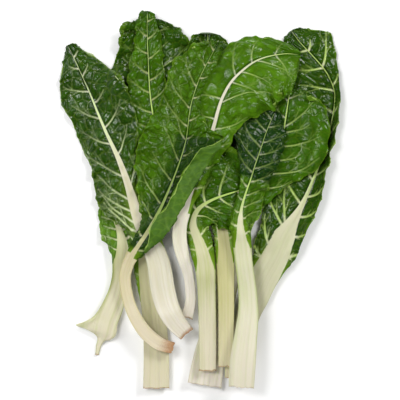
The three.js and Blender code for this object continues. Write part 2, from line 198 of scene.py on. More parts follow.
def read(
    items: bpy.types.bpy_prop_collection, name: str, width: int = 1, kind: type = np.float32
) -> np.ndarray:
    """Reads one property of each item of a mesh.

    Args:
        items: The mesh's points, corners, faces or other items.
        name: The property.
        width: How many numbers it has.
        kind: Type of number.

    Returns:
        The numbers, a row an item where there is more than one.
    """
    values = np.empty(len(items) * width, dtype=kind)
    items.foreach_get(name, values)
    return values if width == 1 else values.reshape(-1, width)


class Noise:
    """Seeded noise in the plane: smooth waves, and a pattern of cells."""

    CELLS = 64  # in each direction before the tables repeat
    CORNERS = ((0, 0), (1, 0), (0, 1), (1, 1))
    JITTER = (0.12, 0.88)  # where in its square the middle of a cell may be
    FAR = 9.0  # more than any distance to a cell

    def __init__(self, seed: int) -> None:
        """Draws the tables that the noise is read from.

        Args:
            seed: Starting number of the draws.
        """
        rng = np.random.default_rng(seed)
        self.heights = rng.uniform(-1.0, 1.0, (self.CELLS, self.CELLS))
        self.jitter = rng.uniform(*self.JITTER, (self.CELLS, self.CELLS, 2))
        self.shades = rng.uniform(0.0, 1.0, (self.CELLS, self.CELLS))

    def waves(self, x: np.ndarray, y: np.ndarray) -> np.ndarray:
        """Smooth noise with one hill or dip a unit.

        Args:
            x: Places in the first direction.
            y: Places in the second.

        Returns:
            The noise at each place, from -1 to 1.
        """
        column, row = np.floor(x).astype(int), np.floor(y).astype(int)
        fx, fy = x - column, y - row
        fx, fy = fx * fx * (3 - 2 * fx), fy * fy * (3 - 2 * fy)
        near = [self.heights[(column + dx) % self.CELLS, (row + dy) % self.CELLS] for dx, dy in self.CORNERS]
        low = near[0] * (1 - fx) + near[1] * fx
        high = near[2] * (1 - fx) + near[3] * fx
        return low * (1 - fy) + high * fy

    def cells(self, x: np.ndarray, y: np.ndarray) -> tuple[np.ndarray, np.ndarray]:
        """A pattern of cells about one unit across.

        Args:
            x: Places in the first direction.
            y: Places in the second.

        Returns:
            How far each place is inside its cell, 0 on a border, and the cell's own number from 0 to 1.
        """
        column, row = np.floor(x).astype(int), np.floor(y).astype(int)
        nearest = np.full(x.shape, self.FAR)
        second = np.full(x.shape, self.FAR)
        shade = np.zeros(x.shape)
        for dx in (-1, 0, 1):
            for dy in (-1, 0, 1):
                c, r = (column + dx) % self.CELLS, (row + dy) % self.CELLS
                away = np.hypot(
                    column + dx + self.jitter[c, r, 0] - x, row + dy + self.jitter[c, r, 1] - y
                )
                closer = away < nearest
                second = np.where(closer, nearest, np.minimum(second, away))
                shade = np.where(closer, self.shades[c, r], shade)
                nearest = np.minimum(nearest, away)
        return second - nearest, shade


# ---------------------------------------------------------------------------------------------------
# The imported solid, read back as rings
# ---------------------------------------------------------------------------------------------------


@dataclass
class Lattice:
    """A packed leaf as two sheets of places in millimetres, rows from the cut end to the tip.

    Columns run from the left margin to the right one, and the middle column is the midrib.
    """

    upper: np.ndarray
    under: np.ndarray

    BELLY = 0.45  # place of the inner columns of a bare stalk, as a share of its half width
    BLADE_SHARE, BLADE_LEAST = 0.6, 0.5  # least width of a blade: a share of the rib's half, and this more
    TWIN = 0.12  # greatest share by which the two halves of a bare stalk differ
    STALK_EDGE = 1.65  # least thickness beside the edge of a bare stalk
    LIKE = 0.1  # greatest share by which two widths differ that count as the same
    SLACK = 0.25  # and the least difference that counts
    FAN = 12  # edges that no point but the middle of an end has

    @property
    def middle(self) -> int:
        """Column of the midrib."""
        return self.upper.shape[1] // 2

    def widths(self) -> tuple[np.ndarray, np.ndarray]:
        """Half width of the stalk or midrib at each row, and width of each half of the blade.

        The columns next to the middle stand at the rib's edge on the blade. On a bare stalk they stand
        inside it, at BELLY of its half width, and the margins are its edges.

        Returns:
            Half widths, shape (rows,), and blade widths, shape (rows, 2), left and right.
        """
        step = np.linalg.norm(np.diff(self.upper, axis=1), axis=-1)
        sides = step[:, self.middle - 1 : self.middle + 1]
        inner = sides.mean(1)
        even = np.abs(sides[:, 0] - sides[:, 1]) < self.LIKE * inner + self.SLACK
        arcs = np.stack([step[:, : self.middle].sum(1), step[:, self.middle :].sum(1)], axis=-1)
        spans = self.upper[:, [0, -1], :2] - self.upper[:, self.middle, None, :2]
        flat = np.linalg.norm(spans, axis=-1)
        half = flat.mean(1)
        thick = np.linalg.norm(self.upper - self.under, axis=-1)[:, [1, -2]].min(1)
        bare = np.arange(len(half)) <= np.flatnonzero(thick > self.STALK_EDGE).max()
        twin = np.abs(flat[:, 0] - flat[:, 1]) < self.TWIN * half
        winged = np.abs(inner / self.BELLY - half) < self.LIKE * half
        broad = flat.max(1) > (1 + self.BLADE_SHARE) * inner + self.BLADE_LEAST
        leafy = ~bare & even & ~(twin & winged) & broad
        narrowing = np.maximum.accumulate(np.where(leafy, inner, 0.0)[::-1])[::-1]
        known = np.flatnonzero(bare | leafy)
        rib = np.interp(np.arange(len(half)), known, np.where(bare, half, narrowing)[known])
        unfolded = (flat.max(1) - rib) / (self.BLADE_SHARE * rib + self.BLADE_LEAST)
        unfolded = smoothstep(0.0, 1.0, unfolded)
        outer = flat + (arcs - flat) * unfolded[:, None]
        return rib, np.maximum(outer - rib[:, None], 0.0)

    @classmethod
    def of_node(cls, name: str) -> Lattice:
        """Reads a packed leaf: a fan at each end, and rings of points between them.

        Args:
            name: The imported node.

        Returns:
            The leaf's two faces.
        """
        shape = bmesh.new()
        shape.from_mesh(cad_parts[name].data)
        bmesh.ops.remove_doubles(shape, verts=shape.verts, dist=1e-6)
        fans = sorted((v for v in shape.verts if len(v.link_edges) > cls.FAN), key=lambda v: v.co.y)
        rings = cls._rings(shape, fans[0], fans[-1])
        places = np.array([[tuple(v.co) for v in ring] for ring in rings]) / MM
        shape.free()
        return cls._unfolded(places)

    @staticmethod
    def _rings(shape: bmesh.types.BMesh, butt: bmesh.types.BMVert, tip: bmesh.types.BMVert) -> list:
        """Walks from the fan on the cut end to the fan on the tip, one ring at a time.

        Args:
            shape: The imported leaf, its points merged.
            butt: The middle of the cut end.
            tip: The middle of the tip.

        Returns:
            The points of each ring.
        """
        follows = {}
        for face in butt.link_faces:
            corners = list(face.verts)
            turn = corners.index(butt)
            follows[corners[(turn + 2) % 3]] = corners[(turn + 1) % 3]
        ring = [next(iter(follows))]
        while len(ring) < len(follows):
            ring.append(follows[ring[-1]])
        rings, seen = [], {butt}
        while tip not in ring:
            rings.append(ring)
            seen.update(ring)
            ring = [Lattice._across(shape, ring[i - 1], ring[i], seen) for i in range(len(ring))]
        return rings

    @staticmethod
    def _across(
        shape: bmesh.types.BMesh, a: bmesh.types.BMVert, b: bmesh.types.BMVert, seen: set
    ) -> bmesh.types.BMVert:
        """The point that makes a face with an edge, on the side not walked yet."""
        edge = shape.edges.get((a, b))
        return next(v for face in edge.link_faces for v in face.verts if v not in seen)

    @classmethod
    def _unfolded(cls, rings: np.ndarray) -> Lattice:
        """Finds the two margins, where the faces meet, and parts the rings there.

        Args:
            rings: Places, shape (rings, points of a ring, 3).

        Returns:
            The two faces.
        """
        length = rings.shape[1]
        order = np.arange(length)

        def apart(turn: int) -> float:
            """How far the two faces are from mirroring each other about one point."""
            pairs = rings[:, (turn + order) % length] - rings[:, (turn - order) % length]
            return float(np.linalg.norm(pairs, axis=-1).sum())

        turn = min(range(length // 2), key=apart)
        rings = np.roll(rings, -turn, axis=1)
        half = length // 2
        upper = rings[:, : half + 1]
        under = np.concatenate([rings[:, :1], rings[:, : half - 1 : -1]], axis=1)
        if upper[..., 2].sum() < under[..., 2].sum():
            upper, under = under[:, ::-1], upper[:, ::-1]
        return cls(upper, under)


# ---------------------------------------------------------------------------------------------------
# Veins
# ---------------------------------------------------------------------------------------------------


@dataclass
class Sheet:
    """The fine grid of a leaf: its two faces, and where each point is on the leaf itself."""

    upper: np.ndarray
    under: np.ndarray
    along: np.ndarray  # distance from the cut end, measured on the midrib
    across: np.ndarray  # distance from the midrib, negative on the left
    own_along: np.ndarray  # distance from the cut end, measured on the point's own column
    margin: np.ndarray  # distance from the margin of the point's own side
    blade: np.ndarray  # width of the blade on the point's own side, outside the rib
    rib: np.ndarray  # half width of the rib on the point's own side

    @property
    def from_tip(self) -> np.ndarray:
        """Distance from the tip, measured on the point's own column."""
        return self.own_along[-1] - self.own_along

    @property
    def side(self) -> np.ndarray:
        """-1 left of the midrib, and 1 right of it."""
        return np.sign(self.across)

    def column(self, side: Side) -> int:
        """The margin column of a side."""
        return 0 if side is Side.LEFT else -1

    @classmethod
    def measured(
        cls, upper: np.ndarray, under: np.ndarray, middle: int, ribs: np.ndarray, blades: np.ndarray
    ) -> Sheet:
        """Measures distances on two fine faces.

        Args:
            upper: The upper face.
            under: The under face.
            middle: Column of the midrib.
            ribs: Half width of the rib at each row.
            blades: Width of each half of the blade at each row.

        Returns:
            The grid with its distances.
        """
        run = np.linalg.norm(np.diff(upper, axis=0), axis=-1)
        own_along = np.vstack([np.zeros(run.shape[1]), np.cumsum(run, axis=0)])
        along = np.repeat(own_along[:, middle : middle + 1], upper.shape[1], axis=1)
        step = np.linalg.norm(np.diff(upper, axis=1), axis=-1)
        across = np.hstack([np.zeros((len(step), 1)), np.cumsum(step, axis=1)])
        across -= across[:, middle : middle + 1]
        right = np.arange(upper.shape[1]) >= middle
        halves = np.where(right, across[:, -1:], -across[:, :1])
        share = smoothstep(0.0, 2.0, np.where(right, blades[:, 1:], blades[:, :1]))
        blade = np.maximum(halves - ribs, 0.0) * share
        return cls(
            upper=upper,
            under=under,
            along=along,
            across=across,
            own_along=own_along,
            margin=halves - np.abs(across),
            blade=blade,
            rib=halves - blade,
        )


@dataclass(frozen=True)
class Lateral:
    """A main side vein: where it leaves the midrib, and a place that it passes near the margin."""

    start: tuple[float, float]
    end: tuple[float, float]


@dataclass(frozen=True)
class Venation:
    """How the side veins of a leaf run."""

    laterals: tuple[Lateral, ...] = ()
    spacing: float = 19.0
    angle: float = 50.0  # between the midrib and a side vein, in degrees
    width: float = 0.3  # half width of a side vein where it leaves the midrib
    bold: float = 0.6  # how much wider the lowest side veins are
    forks: tuple[float, ...] = (0.38, 0.6, 0.8)  # places of a vein where it forks, as shares of its length

    BOLD_REACH = 30.0  # length of blade over which the lowest veins are wider
    MAKING_ROOM = 0.62  # least share of the spacing between a given vein and another
    FIRST, LAST = 0.4, 0.25  # room before the first vein and after the last one, as shares of the same
    STEPS = (0.85, 1.15)  # least and greatest step from one main vein to the next, as shares of the same
    BLADE_START = 2.5  # width of blade from which there are main veins
    TURN = 5.0  # how far the angle of a main vein strays either way, in degrees
    BEND = (0.34, 0.56)  # place that a main vein bends towards, as shares of its run along and across
    ROOT = 0.6  # how far out inside the rib a main vein begins, as a share of its half width
    SHORTEST = 4.0  # vein that is drawn
    PIECE = 2.5  # length of a straight piece of a vein
    THINNING = 0.72  # share of its width that a vein loses on its way
    FORK_WIDTH = 0.55  # width of a fork, as a share of its vein's
    FORK_LONG = (0.34, 0.5)  # least and greatest length of a fork, as a share of its vein's
    FORK_FOOT, FORK_LESS = 1.15, 0.5  # factor of that at the vein's foot, and what it loses by its end
    FORK_LEAN = (24, 38)  # least and greatest angle between a vein and its fork, in degrees
    FORK_STRAY = 0.05  # how far a fork strays from its place, as a share of its vein's length
    FORK_RANGE = (0.1, 0.92)  # places where there may be forks, as shares of the same
    SWINGS = 9  # how often a vein sways, in radians over its length
    SWAY = 0.012  # how far a vein wanders, as a share of its length
    DEEPEST = 2  # forks of forks
    REACH = 5.0  # distance past which a vein isn't looked for

    def lines(self, sheet: Sheet, rng: np.random.Generator) -> list[tuple[np.ndarray, np.ndarray]]:
        """Draws all the veins in leaf coordinates.

        Args:
            sheet: The leaf's fine grid.
            rng: Source of the irregularities.

        Returns:
            For each vein its points (along, across) and its half width at each.
        """
        drawn = []
        for side in Side:
            runs = self._runs(sheet, side, rng)
            lowest = min((start[0] for start, _ in runs), default=0.0)
            for start, end in runs:
                wider = 1 + self.bold * np.exp((lowest - start[0]) / self.BOLD_REACH)
                drawn += self._tree(start, end, self.width * wider, rng, depth=0)
        return drawn

    def _runs(self, sheet: Sheet, side: Side, rng: np.random.Generator) -> list:
        """Places the main veins of one side: those given, and others spaced between them.

        Args:
            sheet: The leaf's fine grid.
            side: The side.
            rng: Source of the irregularities.

        Returns:
            Both ends of each vein in leaf coordinates.
        """
        edge = sheet.column(side)
        axis, half, ribs = sheet.along[:, 0], np.abs(sheet.across[:, edge]), sheet.rib[:, edge]
        given = [self._placed(sheet, lateral) for lateral in self.laterals]
        given = [run for run in given if run[1][1] * side.value > 0]
        taken = [run[0][0] for run in given]
        runs = list(given)
        leafy = axis[half > ribs + self.BLADE_START]
        if not len(leafy):
            return runs
        at = leafy[0] + self.FIRST * self.spacing
        while at < leafy[-1] - self.LAST * self.spacing:
            if all(abs(at - other) > self.MAKING_ROOM * self.spacing for other in taken):
                rib = np.interp(at, axis, ribs)
                lean = radians(self.angle + rng.uniform(-self.TURN, self.TURN))
                reach = np.interp(at, axis, half)
                reach = np.interp(at + reach / np.tan(lean), axis, half)
                end = (at + (reach - rib) / np.tan(lean), side.value * reach)
                runs.append(((at, side.value * self.ROOT * rib), end))
            at += self.spacing * rng.uniform(*self.STEPS)
        return runs

    def _placed(self, sheet: Sheet, lateral: Lateral) -> tuple:
        """Finds a given vein on the leaf.

        Args:
            sheet: The leaf's fine grid.
            lateral: The vein.

        Returns:
            Both its ends in leaf coordinates.
        """
        ends = []
        for x, y in (lateral.start, lateral.end):
            away = np.hypot(sheet.upper[..., 0] - x, sheet.upper[..., 1] - y)
            row, column = np.unravel_index(np.argmin(away), away.shape)
            ends.append((sheet.along[row, column], sheet.across[row, column]))
        (at, _), end = ends
        rib = np.interp(at, sheet.along[:, 0], sheet.rib[:, 0])
        return (at, np.sign(end[1]) * self.ROOT * rib), end

    def _tree(self, start: tuple, end: tuple, width: float, rng: np.random.Generator, depth: int) -> list:
        """A vein with its forks.

        Args:
            start: Leaf coordinates where it begins.
            end: Leaf coordinates where it would reach the margin.
            width: Half width where it begins.
            rng: Source of the irregularities.
            depth: 0 for a main vein, and one more at each fork.

        Returns:
            Points and half widths of the vein and of all its forks.
        """
        start, end = np.array(start), np.array(end)
        run = end - start
        reach = float(np.hypot(*run))
        if reach < self.SHORTEST:
            return []
        bend = start + run * (np.array(self.BEND) if depth == 0 else 0.5)
        share = np.linspace(0, 1, max(6, int(reach / self.PIECE)))[:, None]
        line = start * (1 - share) ** 2 + 2 * bend * share * (1 - share) + end * share**2
        sway = np.array([-run[1], run[0]]) / reach
        line = line + sway * (self.SWAY * reach) * np.sin(share * self.SWINGS + rng.uniform(0, 6.3)) * share
        widths = width * (1 - self.THINNING * share[:, 0])
        drawn = [(line, widths)]
        if depth == self.DEEPEST:
            return drawn
        turns = (1, -1, 1, -1) if rng.uniform() < 0.5 else (-1, 1, -1, 1)
        for place, turn in zip(self.forks, turns):
            place = place + rng.uniform(-self.FORK_STRAY, self.FORK_STRAY)
            place = float(np.clip(place, *self.FORK_RANGE))
            index = int(place * (len(line) - 1))
            ahead = line[min(index + 2, len(line) - 1)] - line[max(index - 1, 0)]
            ahead = ahead / (np.hypot(*ahead) + 1e-9)
            lean = turn * radians(rng.uniform(*self.FORK_LEAN))
            cos, sin = np.cos(lean), np.sin(lean)
            way = np.array([ahead[0] * cos - ahead[1] * sin, ahead[0] * sin + ahead[1] * cos])
            span = reach * rng.uniform(*self.FORK_LONG) * (self.FORK_FOOT - self.FORK_LESS * place)
            wide = self.FORK_WIDTH * widths[index]
            drawn += self._tree(line[index], line[index] + way * span, wide, rng, depth + 1)
        return drawn

    @classmethod
    def gap(cls, sheet: Sheet, lines: list[tuple[np.ndarray, np.ndarray]]) -> tuple[np.ndarray, np.ndarray]:
        """Finds the nearest vein to each point of the leaf.

        Args:
            sheet: The leaf's fine grid.
            lines: The veins.

        Returns:
            Distances to the vein's edge, negative inside it and at most REACH, and its half width there.
        """
        nearest = np.full(sheet.along.shape, cls.REACH)
        size = np.zeros(sheet.along.shape)
        for line, widths in lines:
            low, high = line.min(0) - cls.REACH, line.max(0) + cls.REACH
            near = (sheet.along > low[0]) & (sheet.along < high[0])
            near &= (sheet.across > low[1]) & (sheet.across < high[1])
            rows, columns = np.nonzero(near)
            if not len(rows):
                continue
            place = np.stack([sheet.along[rows, columns], sheet.across[rows, columns]], axis=-1)
            found, wide_there = nearest[rows, columns], size[rows, columns]
            for a, b, wide in zip(line[:-1], line[1:], widths):
                step = b - a
                share = np.clip((place - a) @ step / (step @ step + 1e-9), 0, 1)
                away = np.hypot(*(place - a - share[:, None] * step).T) - wide
                wide_there = np.where(away < found, wide, wide_there)
                found = np.minimum(found, away)
            nearest[rows, columns] = found
            size[rows, columns] = wide_there
        return nearest, size


# ---------------------------------------------------------------------------------------------------
# Finishes
# ---------------------------------------------------------------------------------------------------


def light(value: int) -> float:
    """One channel of a display colour, 0 to 255, as the light that it stands for."""
    share = value / 255
    return share / 12.92 if share <= 0.04045 else ((share + 0.055) / 1.055) ** 2.4


def linear(red: int, green: int, blue: int) -> tuple[float, float, float, float]:
    """A display colour, 0 to 255 a channel, as the linear colour that a shader takes."""
    return (light(red), light(green), light(blue), 1.0)


Socket = bpy.types.NodeSocket
Value = Union[Socket, float, tuple]


class Graph:
    """Short ways to add the nodes of one material."""

    def __init__(self, name: str) -> None:
        """Makes an empty material with its output.

        Args:
            name: Name of the material.
        """
        self.material = bpy.data.materials.new(name)
        self.material.use_nodes = True
        self.tree = self.material.node_tree
        self.tree.nodes.clear()
        self.output = self.tree.nodes.new("ShaderNodeOutputMaterial")

    def node(self, kind: str, **settings: Union[str, bool]) -> bpy.types.Node:
        """Adds a node.

        Args:
            kind: Its type.
            **settings: Its properties.

        Returns:
            The node.
        """
        made = self.tree.nodes.new(kind)
        for key, value in settings.items():
            setattr(made, key, value)
        return made

    def put(self, value: Value, socket: Socket) -> None:
        """Links a socket to another, or sets it.

        Args:
            value: A socket, or a plain value.
            socket: The input that takes it.
        """
        if isinstance(value, Socket):
            self.tree.links.new(value, socket)
        else:
            socket.default_value = value

    def fill(self, node: bpy.types.Node, values: dict[str, Value]) -> None:
        """Puts each value into the node's input of that name."""
        for key, value in values.items():
            self.put(value, node.inputs[key])

    def math(self, operation: str, a: Value, b: Value = 0.0, clamp: bool = False) -> Socket:
        """Works on two numbers.

        Args:
            operation: ADD, SUBTRACT or MULTIPLY.
            a: The first number.
            b: The second number.
            clamp: Whether the result is kept from 0 to 1.

        Returns:
            The result.
        """
        made = self.node("ShaderNodeMath", operation=operation, use_clamp=clamp)
        self.put(a, made.inputs[0])
        self.put(b, made.inputs[1])
        return made.outputs[0]

    def step(self, value: Socket, low: float, high: float, start: float = 0.0, stop: float = 1.0) -> Socket:
        """Turns one number into another, smoothly.

        Args:
            value: The number.
            low: Value that gives start, as all below it do.
            high: Value that gives stop, as all above it do.
            start: Result at low.
            stop: Result at high.

        Returns:
            The result.
        """
        made = self.node("ShaderNodeMapRange", interpolation_type="SMOOTHSTEP")
        self.fill(made, {"Value": value, "From Min": low, "From Max": high, "To Min": start, "To Max": stop})
        return made.outputs["Result"]

    def skin(self, colour: Value, roughness: Value, shine: float) -> bpy.types.Node:
        """Adds the shader that faces the light, and links it to the output.

        Args:
            colour: Its base colour.
            roughness: Its roughness.
            shine: Strength of its reflections.

        Returns:
            The shader.
        """
        shader = self.node("ShaderNodeBsdfPrincipled")
        values = {"Base Color": colour, "Roughness": roughness, "Specular IOR Level": shine}
        self.fill(shader, values)
        self.put(shader.outputs[0], self.output.inputs["Surface"])
        return shader

    def mix(self, share: Value, a: Value, b: Value) -> Socket:
        """Mixes two colours."""
        return self._mixed("RGBA", share, a, b)

    def blend(self, share: Value, a: Value, b: Value) -> Socket:
        """Mixes two numbers."""
        return self._mixed("FLOAT", share, a, b)

    def _mixed(self, kind: str, share: Value, a: Value, b: Value) -> Socket:
        """Mixes two values of one kind.

        Args:
            kind: RGBA or FLOAT.
            share: 0 for the first value, 1 for the second.
            a: The first value.
            b: The second value.

        Returns:
            The mixed value.
        """
        made = self.node("ShaderNodeMix", data_type=kind, clamp_factor=True)
        self.fill(made, {"Factor": share, "A": a, "B": b})
        return made.outputs["Result"]

    def noise(self, vector: Socket, scale: float, detail: float = 3.0, rough: float = 0.5) -> Socket:
        """Noise at a place.

        Args:
            vector: The place.
            scale: Hills in a metre.
            detail: How many finer layers are laid over it.
            rough: How strong they are.

        Returns:
            The noise, from 0 to 1.
        """
        made = self.node("ShaderNodeTexNoise")
        self.fill(made, {"Vector": vector, "Scale": scale, "Detail": detail, "Roughness": rough})
        return made.outputs["Fac"]

    def attribute(self, name: str) -> tuple[Socket, Socket, Socket, Socket]:
        """Reads one of the leaf's attributes.

        Args:
            name: The attribute.

        Returns:
            The whole vector, and its three numbers.
        """
        made = self.node("ShaderNodeAttribute", attribute_name=name)
        parts = self.node("ShaderNodeSeparateXYZ")
        self.put(made.outputs["Vector"], parts.inputs[0])
        return made.outputs["Vector"], *parts.outputs

    def scaled(self, vector: Socket, scale: tuple[float, float, float], shift: float = 0.0) -> Socket:
        """Stretches a place in each direction, for a pattern with a grain.

        Args:
            vector: The place.
            scale: How many times as far it goes in each direction.
            shift: How far it is moved in each, for another part of the same pattern.

        Returns:
            The stretched place.
        """
        made = self.node("ShaderNodeMapping")
        self.fill(made, {"Vector": vector, "Scale": scale, "Location": (shift, shift, shift)})
        return made.outputs["Vector"]


class LeafGraph(Graph):
    """The nodes of a leaf's material, with what each point of the leaf is."""

    def __init__(self, name: str, seed: float) -> None:
        """Reads the leaf's attributes.

        Args:
            name: Name of the material.
            seed: Which part of each pattern it shows.
        """
        super().__init__(name)
        self.seed = seed
        _, self.rib, self.vein, self.small = self.attribute(TISSUE)
        self.place, self.cut, _, self.under = self.attribute(PLACE)
        _, self.height, self.edge, self.painted_shade_share = self.attribute(FORM)
        _, self.pale, self.young, self.near = self.attribute(TINT)

    def pattern(
        self, stretch: float, scale: float, detail: float, rough: float, shift: float = 0.0
    ) -> Socket:
        """Noise that lies on the leaf.

        Args:
            stretch: Below 1 where it is drawn out along the leaf.
            scale: How many patches it has in a metre.
            detail: How fine it goes.
            rough: How strong the fine part is.
            shift: Reads another part of the pattern.

        Returns:
            The noise.
        """
        place = self.scaled(self.place, (stretch, 1, 0), self.seed + shift)
        return self.noise(place, scale, detail, rough)

    def part(self, value: Socket, share: float) -> Socket:
        """A number times a plain one."""
        return self.math("MULTIPLY", value, share)


@dataclass(frozen=True)
class LeafFinish:
    """Colours and gloss of one leaf, from the cut end of its stalk to its tip."""

    deep: tuple[int, int, int] = (18, 48, 4)
    fresh: tuple[int, int, int] = (60, 103, 10)
    young: tuple[int, int, int] = (112, 148, 30)
    painted_shade: tuple[int, int, int] = (14, 40, 14)  # painted shade: blue-green of the part of the blade drawn as lying in shade
    vein: tuple[int, int, int] = (172, 198, 104)
    back: tuple[int, int, int] = (62, 94, 30)
    stalk: tuple[int, int, int] = (204, 199, 170)
    streak: tuple[int, int, int] = (172, 180, 108)
    rim: tuple[int, int, int] = (140, 162, 66)  # lines along the edges of the stalk
    shade: tuple[int, int, int] = (172, 162, 146)
    butt: tuple[int, int, int] = (222, 210, 198)  # of the stalk near its cut end
    bruise: tuple[int, int, int] = (146, 98, 52)
    gloss: float = 0.2  # roughness of the upper face
    shine: float = 0.22  # strength of its reflections
    streaks: float = 0.45
    rims: float = 0.5  # strength of the green lines along the edges of the stalk
    browning: float = 1.0  # millimetres of the cut end that have browned
    seed: float = 0.0

    PAINTED_SHADE_BLADE = 0.8  # share of the painted shade colour in the blade where it is darkest
    PAINTED_SHADE_VEINS = 0.4  # and in its veins
    SMALL_VEINS = 0.22  # how strongly they show
    LARGE_VEINS = 0.92
    RIB_EDGE = (0.25, 0.8)  # nearness to the rib at which its colour starts, and is full
    HOLLOW_SHADE = 0.6  # painted light and shade: how far the blisters' height makes the blade fresher, darker in the hollows and lighter on the tops
    GREEN_START = 0.25  # strength of the green edges at the cut end, as a share of that further on
    BROWN_MOST = 0.85  # strength of the browning
    WRINKLED = 0.15  # height of the blade's wrinkles, as a share of that of the stalk's fibres
    BUMP = {"Strength": 0.35, "Distance": 0.5 * MM}

    # Patterns: how far they are drawn out along the leaf, scale, detail, roughness, and a shift if any.
    BROAD = (1, 42.0, 4.0, 0.6)
    LINES = (0.02, 420.0, 3.0, 0.55)
    BANDS = (0.02, 130.0, 2.0, 0.5)
    WASHES = (0.25, 60.0, 2.0, 0.5, 3)
    BROWNING = (1, 500.0, 3.0, 0.6)
    SHEEN = (1, 90.0, 2.0, 0.5)
    WRINKLES = (1, 700.0, 4.0, 0.6)
    FIBRES = (0.03, 900.0, 3.0, 0.6)

    # Two values of a measure, and how strong a colour is at the one and at the other.
    YOUNG_BESIDE = (0.05, 1.0, 0.15, 0.9)  # the young colour, by nearness to the rib
    VEIN_PALE = (0.1, 0.9, 0.0, 0.75)  # the stalk's colour in a vein, by the same
    TOP_PATCHES = (0.3, 0.72, 0.0, 0.42)  # the fresh colour, by the broad pattern
    BACK_PATCHES = (0.3, 0.7, 0.0, 0.5)  # the same on the underside
    TOP_MARGIN = (0.72, 1.0, 0.0, 0.35)  # the young colour, by nearness to the margin
    BACK_MARGIN = (0.82, 1.0, 0.0, 0.8)  # the veins' colour, by the same on the underside
    PATCHY_EDGES = (0.25, 0.6, 0.3, 1.0)  # the green edges, by the bands

    GREEN_FROM = (0.02, 0.11)  # metres from the cut end where the green edges start, and are full
    BROWN_RANGE = (-0.5, 0.7)  # where the browning starts to fade, and ends, in lengths of browning
    GLOSS_RANGE = (0.35, 0.7)  # of the sheen pattern
    GLOSSES = (-0.04, 0.14)  # what it adds to the roughness at the one and at the other
    DULL = 0.6  # roughness of the underside
    SATIN = 0.36  # and of the stalk
    FLESH = {
        "IOR": 1.45,
        "Subsurface Weight": 0.12,
        "Subsurface Radius": (0.6, 1.0, 0.3),
        "Subsurface Scale": 2 * MM,
    }

    def material(self, name: str) -> bpy.types.Material:
        """Builds the finish.

        Args:
            name: Name of the material.

        Returns:
            The material.
        """
        graph = LeafGraph(name, self.seed)
        young, painted_shade, vein = linear(*self.young), linear(*self.painted_shade), linear(*self.vein)
        youth = graph.math("MULTIPLY", graph.young, graph.step(graph.near, *self.YOUNG_BESIDE))
        blade = graph.mix(youth, self._blade(graph), young)
        # Painted shade: where the shade share is high, the blade, its veins and its thin rib are mixed
        # towards the shade colour.
        blade = graph.mix(graph.part(graph.painted_shade_share, self.PAINTED_SHADE_BLADE), blade, painted_shade)
        veined = graph.mix(graph.part(graph.small, self.SMALL_VEINS), blade, young)
        lined = graph.mix(graph.step(graph.near, *self.VEIN_PALE), vein, linear(*self.stalk))
        veined = graph.mix(graph.part(graph.vein, self.LARGE_VEINS), veined, lined)
        shaded = graph.part(graph.painted_shade_share, self.PAINTED_SHADE_VEINS)
        stalk = graph.mix(graph.pale, graph.mix(shaded, vein, painted_shade), self._stalk(graph))
        colour = graph.mix(graph.step(graph.rib, *self.RIB_EDGE), graph.mix(shaded, veined, painted_shade), stalk)
        shader = graph.skin(colour, self._roughness(graph), self.shine)
        graph.put(self._bump(graph), shader.inputs["Normal"])
        graph.fill(shader, self.FLESH)
        return graph.material

    def _blade(self, graph: LeafGraph) -> Socket:
        """Colours the blade: painted shade in its hollows and painted light on its blister tops, duller on
        its underside.

        Args:
            graph: The material.

        Returns:
            The colour.
        """
        broad = graph.pattern(*self.BROAD)
        # Painted light and shade: the higher a blister, the fresher its colour, so hollows read darker and
        # tops lighter.
        hollow_shade = graph.part(graph.height, self.HOLLOW_SHADE)
        share = graph.math("ADD", graph.step(broad, *self.TOP_PATCHES), hollow_shade, clamp=True)
        top = graph.mix(share, linear(*self.deep), linear(*self.fresh))
        top = graph.mix(graph.step(graph.edge, *self.TOP_MARGIN), top, linear(*self.young))
        back = graph.mix(graph.step(broad, *self.BACK_PATCHES), linear(*self.back), linear(*self.fresh))
        back = graph.mix(graph.step(graph.edge, *self.BACK_MARGIN), back, linear(*self.vein))
        return graph.mix(graph.under, top, back)

    def _stalk(self, graph: LeafGraph) -> Socket:
        """Colours the stalk: cream with long streaks, browned at the cut.

        Args:
            graph: The material.

        Returns:
            The colour.
        """
        lines, bands, washes = (graph.pattern(*kind) for kind in (self.LINES, self.BANDS, self.WASHES))
        cut, brown = graph.cut, self.browning * MM
        colour = linear(*self.stalk)
        # Each coat goes from one strength to another as its measure passes through a range.
        for measure, low, high, start, stop, coat in (
            (lines, 0.42, 0.7, 0.0, self.streaks, self.streak),
            (bands, 0.5, 0.8, 0.0, 0.4, self.shade),
            (washes, 0.45, 0.8, 0.0, 0.5, self.streak),
            (cut, 0.05, 0.15, 0.0, 0.3, self.streak),
            (cut, 0.0, 0.08, 0.3, 0.0, self.butt),
        ):
            colour = graph.mix(graph.step(measure, low, high, start, stop), colour, linear(*coat))
        further = graph.step(cut, *self.GREEN_FROM, self.GREEN_START * self.rims, self.rims)
        green = graph.math("MULTIPLY", graph.edge, further)
        green = graph.math("MULTIPLY", green, graph.step(bands, *self.PATCHY_EDGES))
        colour = graph.mix(green, colour, linear(*self.rim))
        reach = graph.math("SUBTRACT", cut, graph.part(graph.pattern(*self.BROWNING), brown))
        browned = graph.step(reach, *(share * brown for share in self.BROWN_RANGE), self.BROWN_MOST, 0.0)
        return graph.mix(browned, colour, linear(*self.bruise))

    def _roughness(self, graph: LeafGraph) -> Socket:
        """Gloss: waxy on the upper face, satin on the stalk, dull below."""
        ends = (self.gloss + more for more in self.GLOSSES)
        top = graph.step(graph.pattern(*self.SHEEN), *self.GLOSS_RANGE, *ends)
        return graph.blend(graph.rib, graph.blend(graph.under, top, self.DULL), self.SATIN)

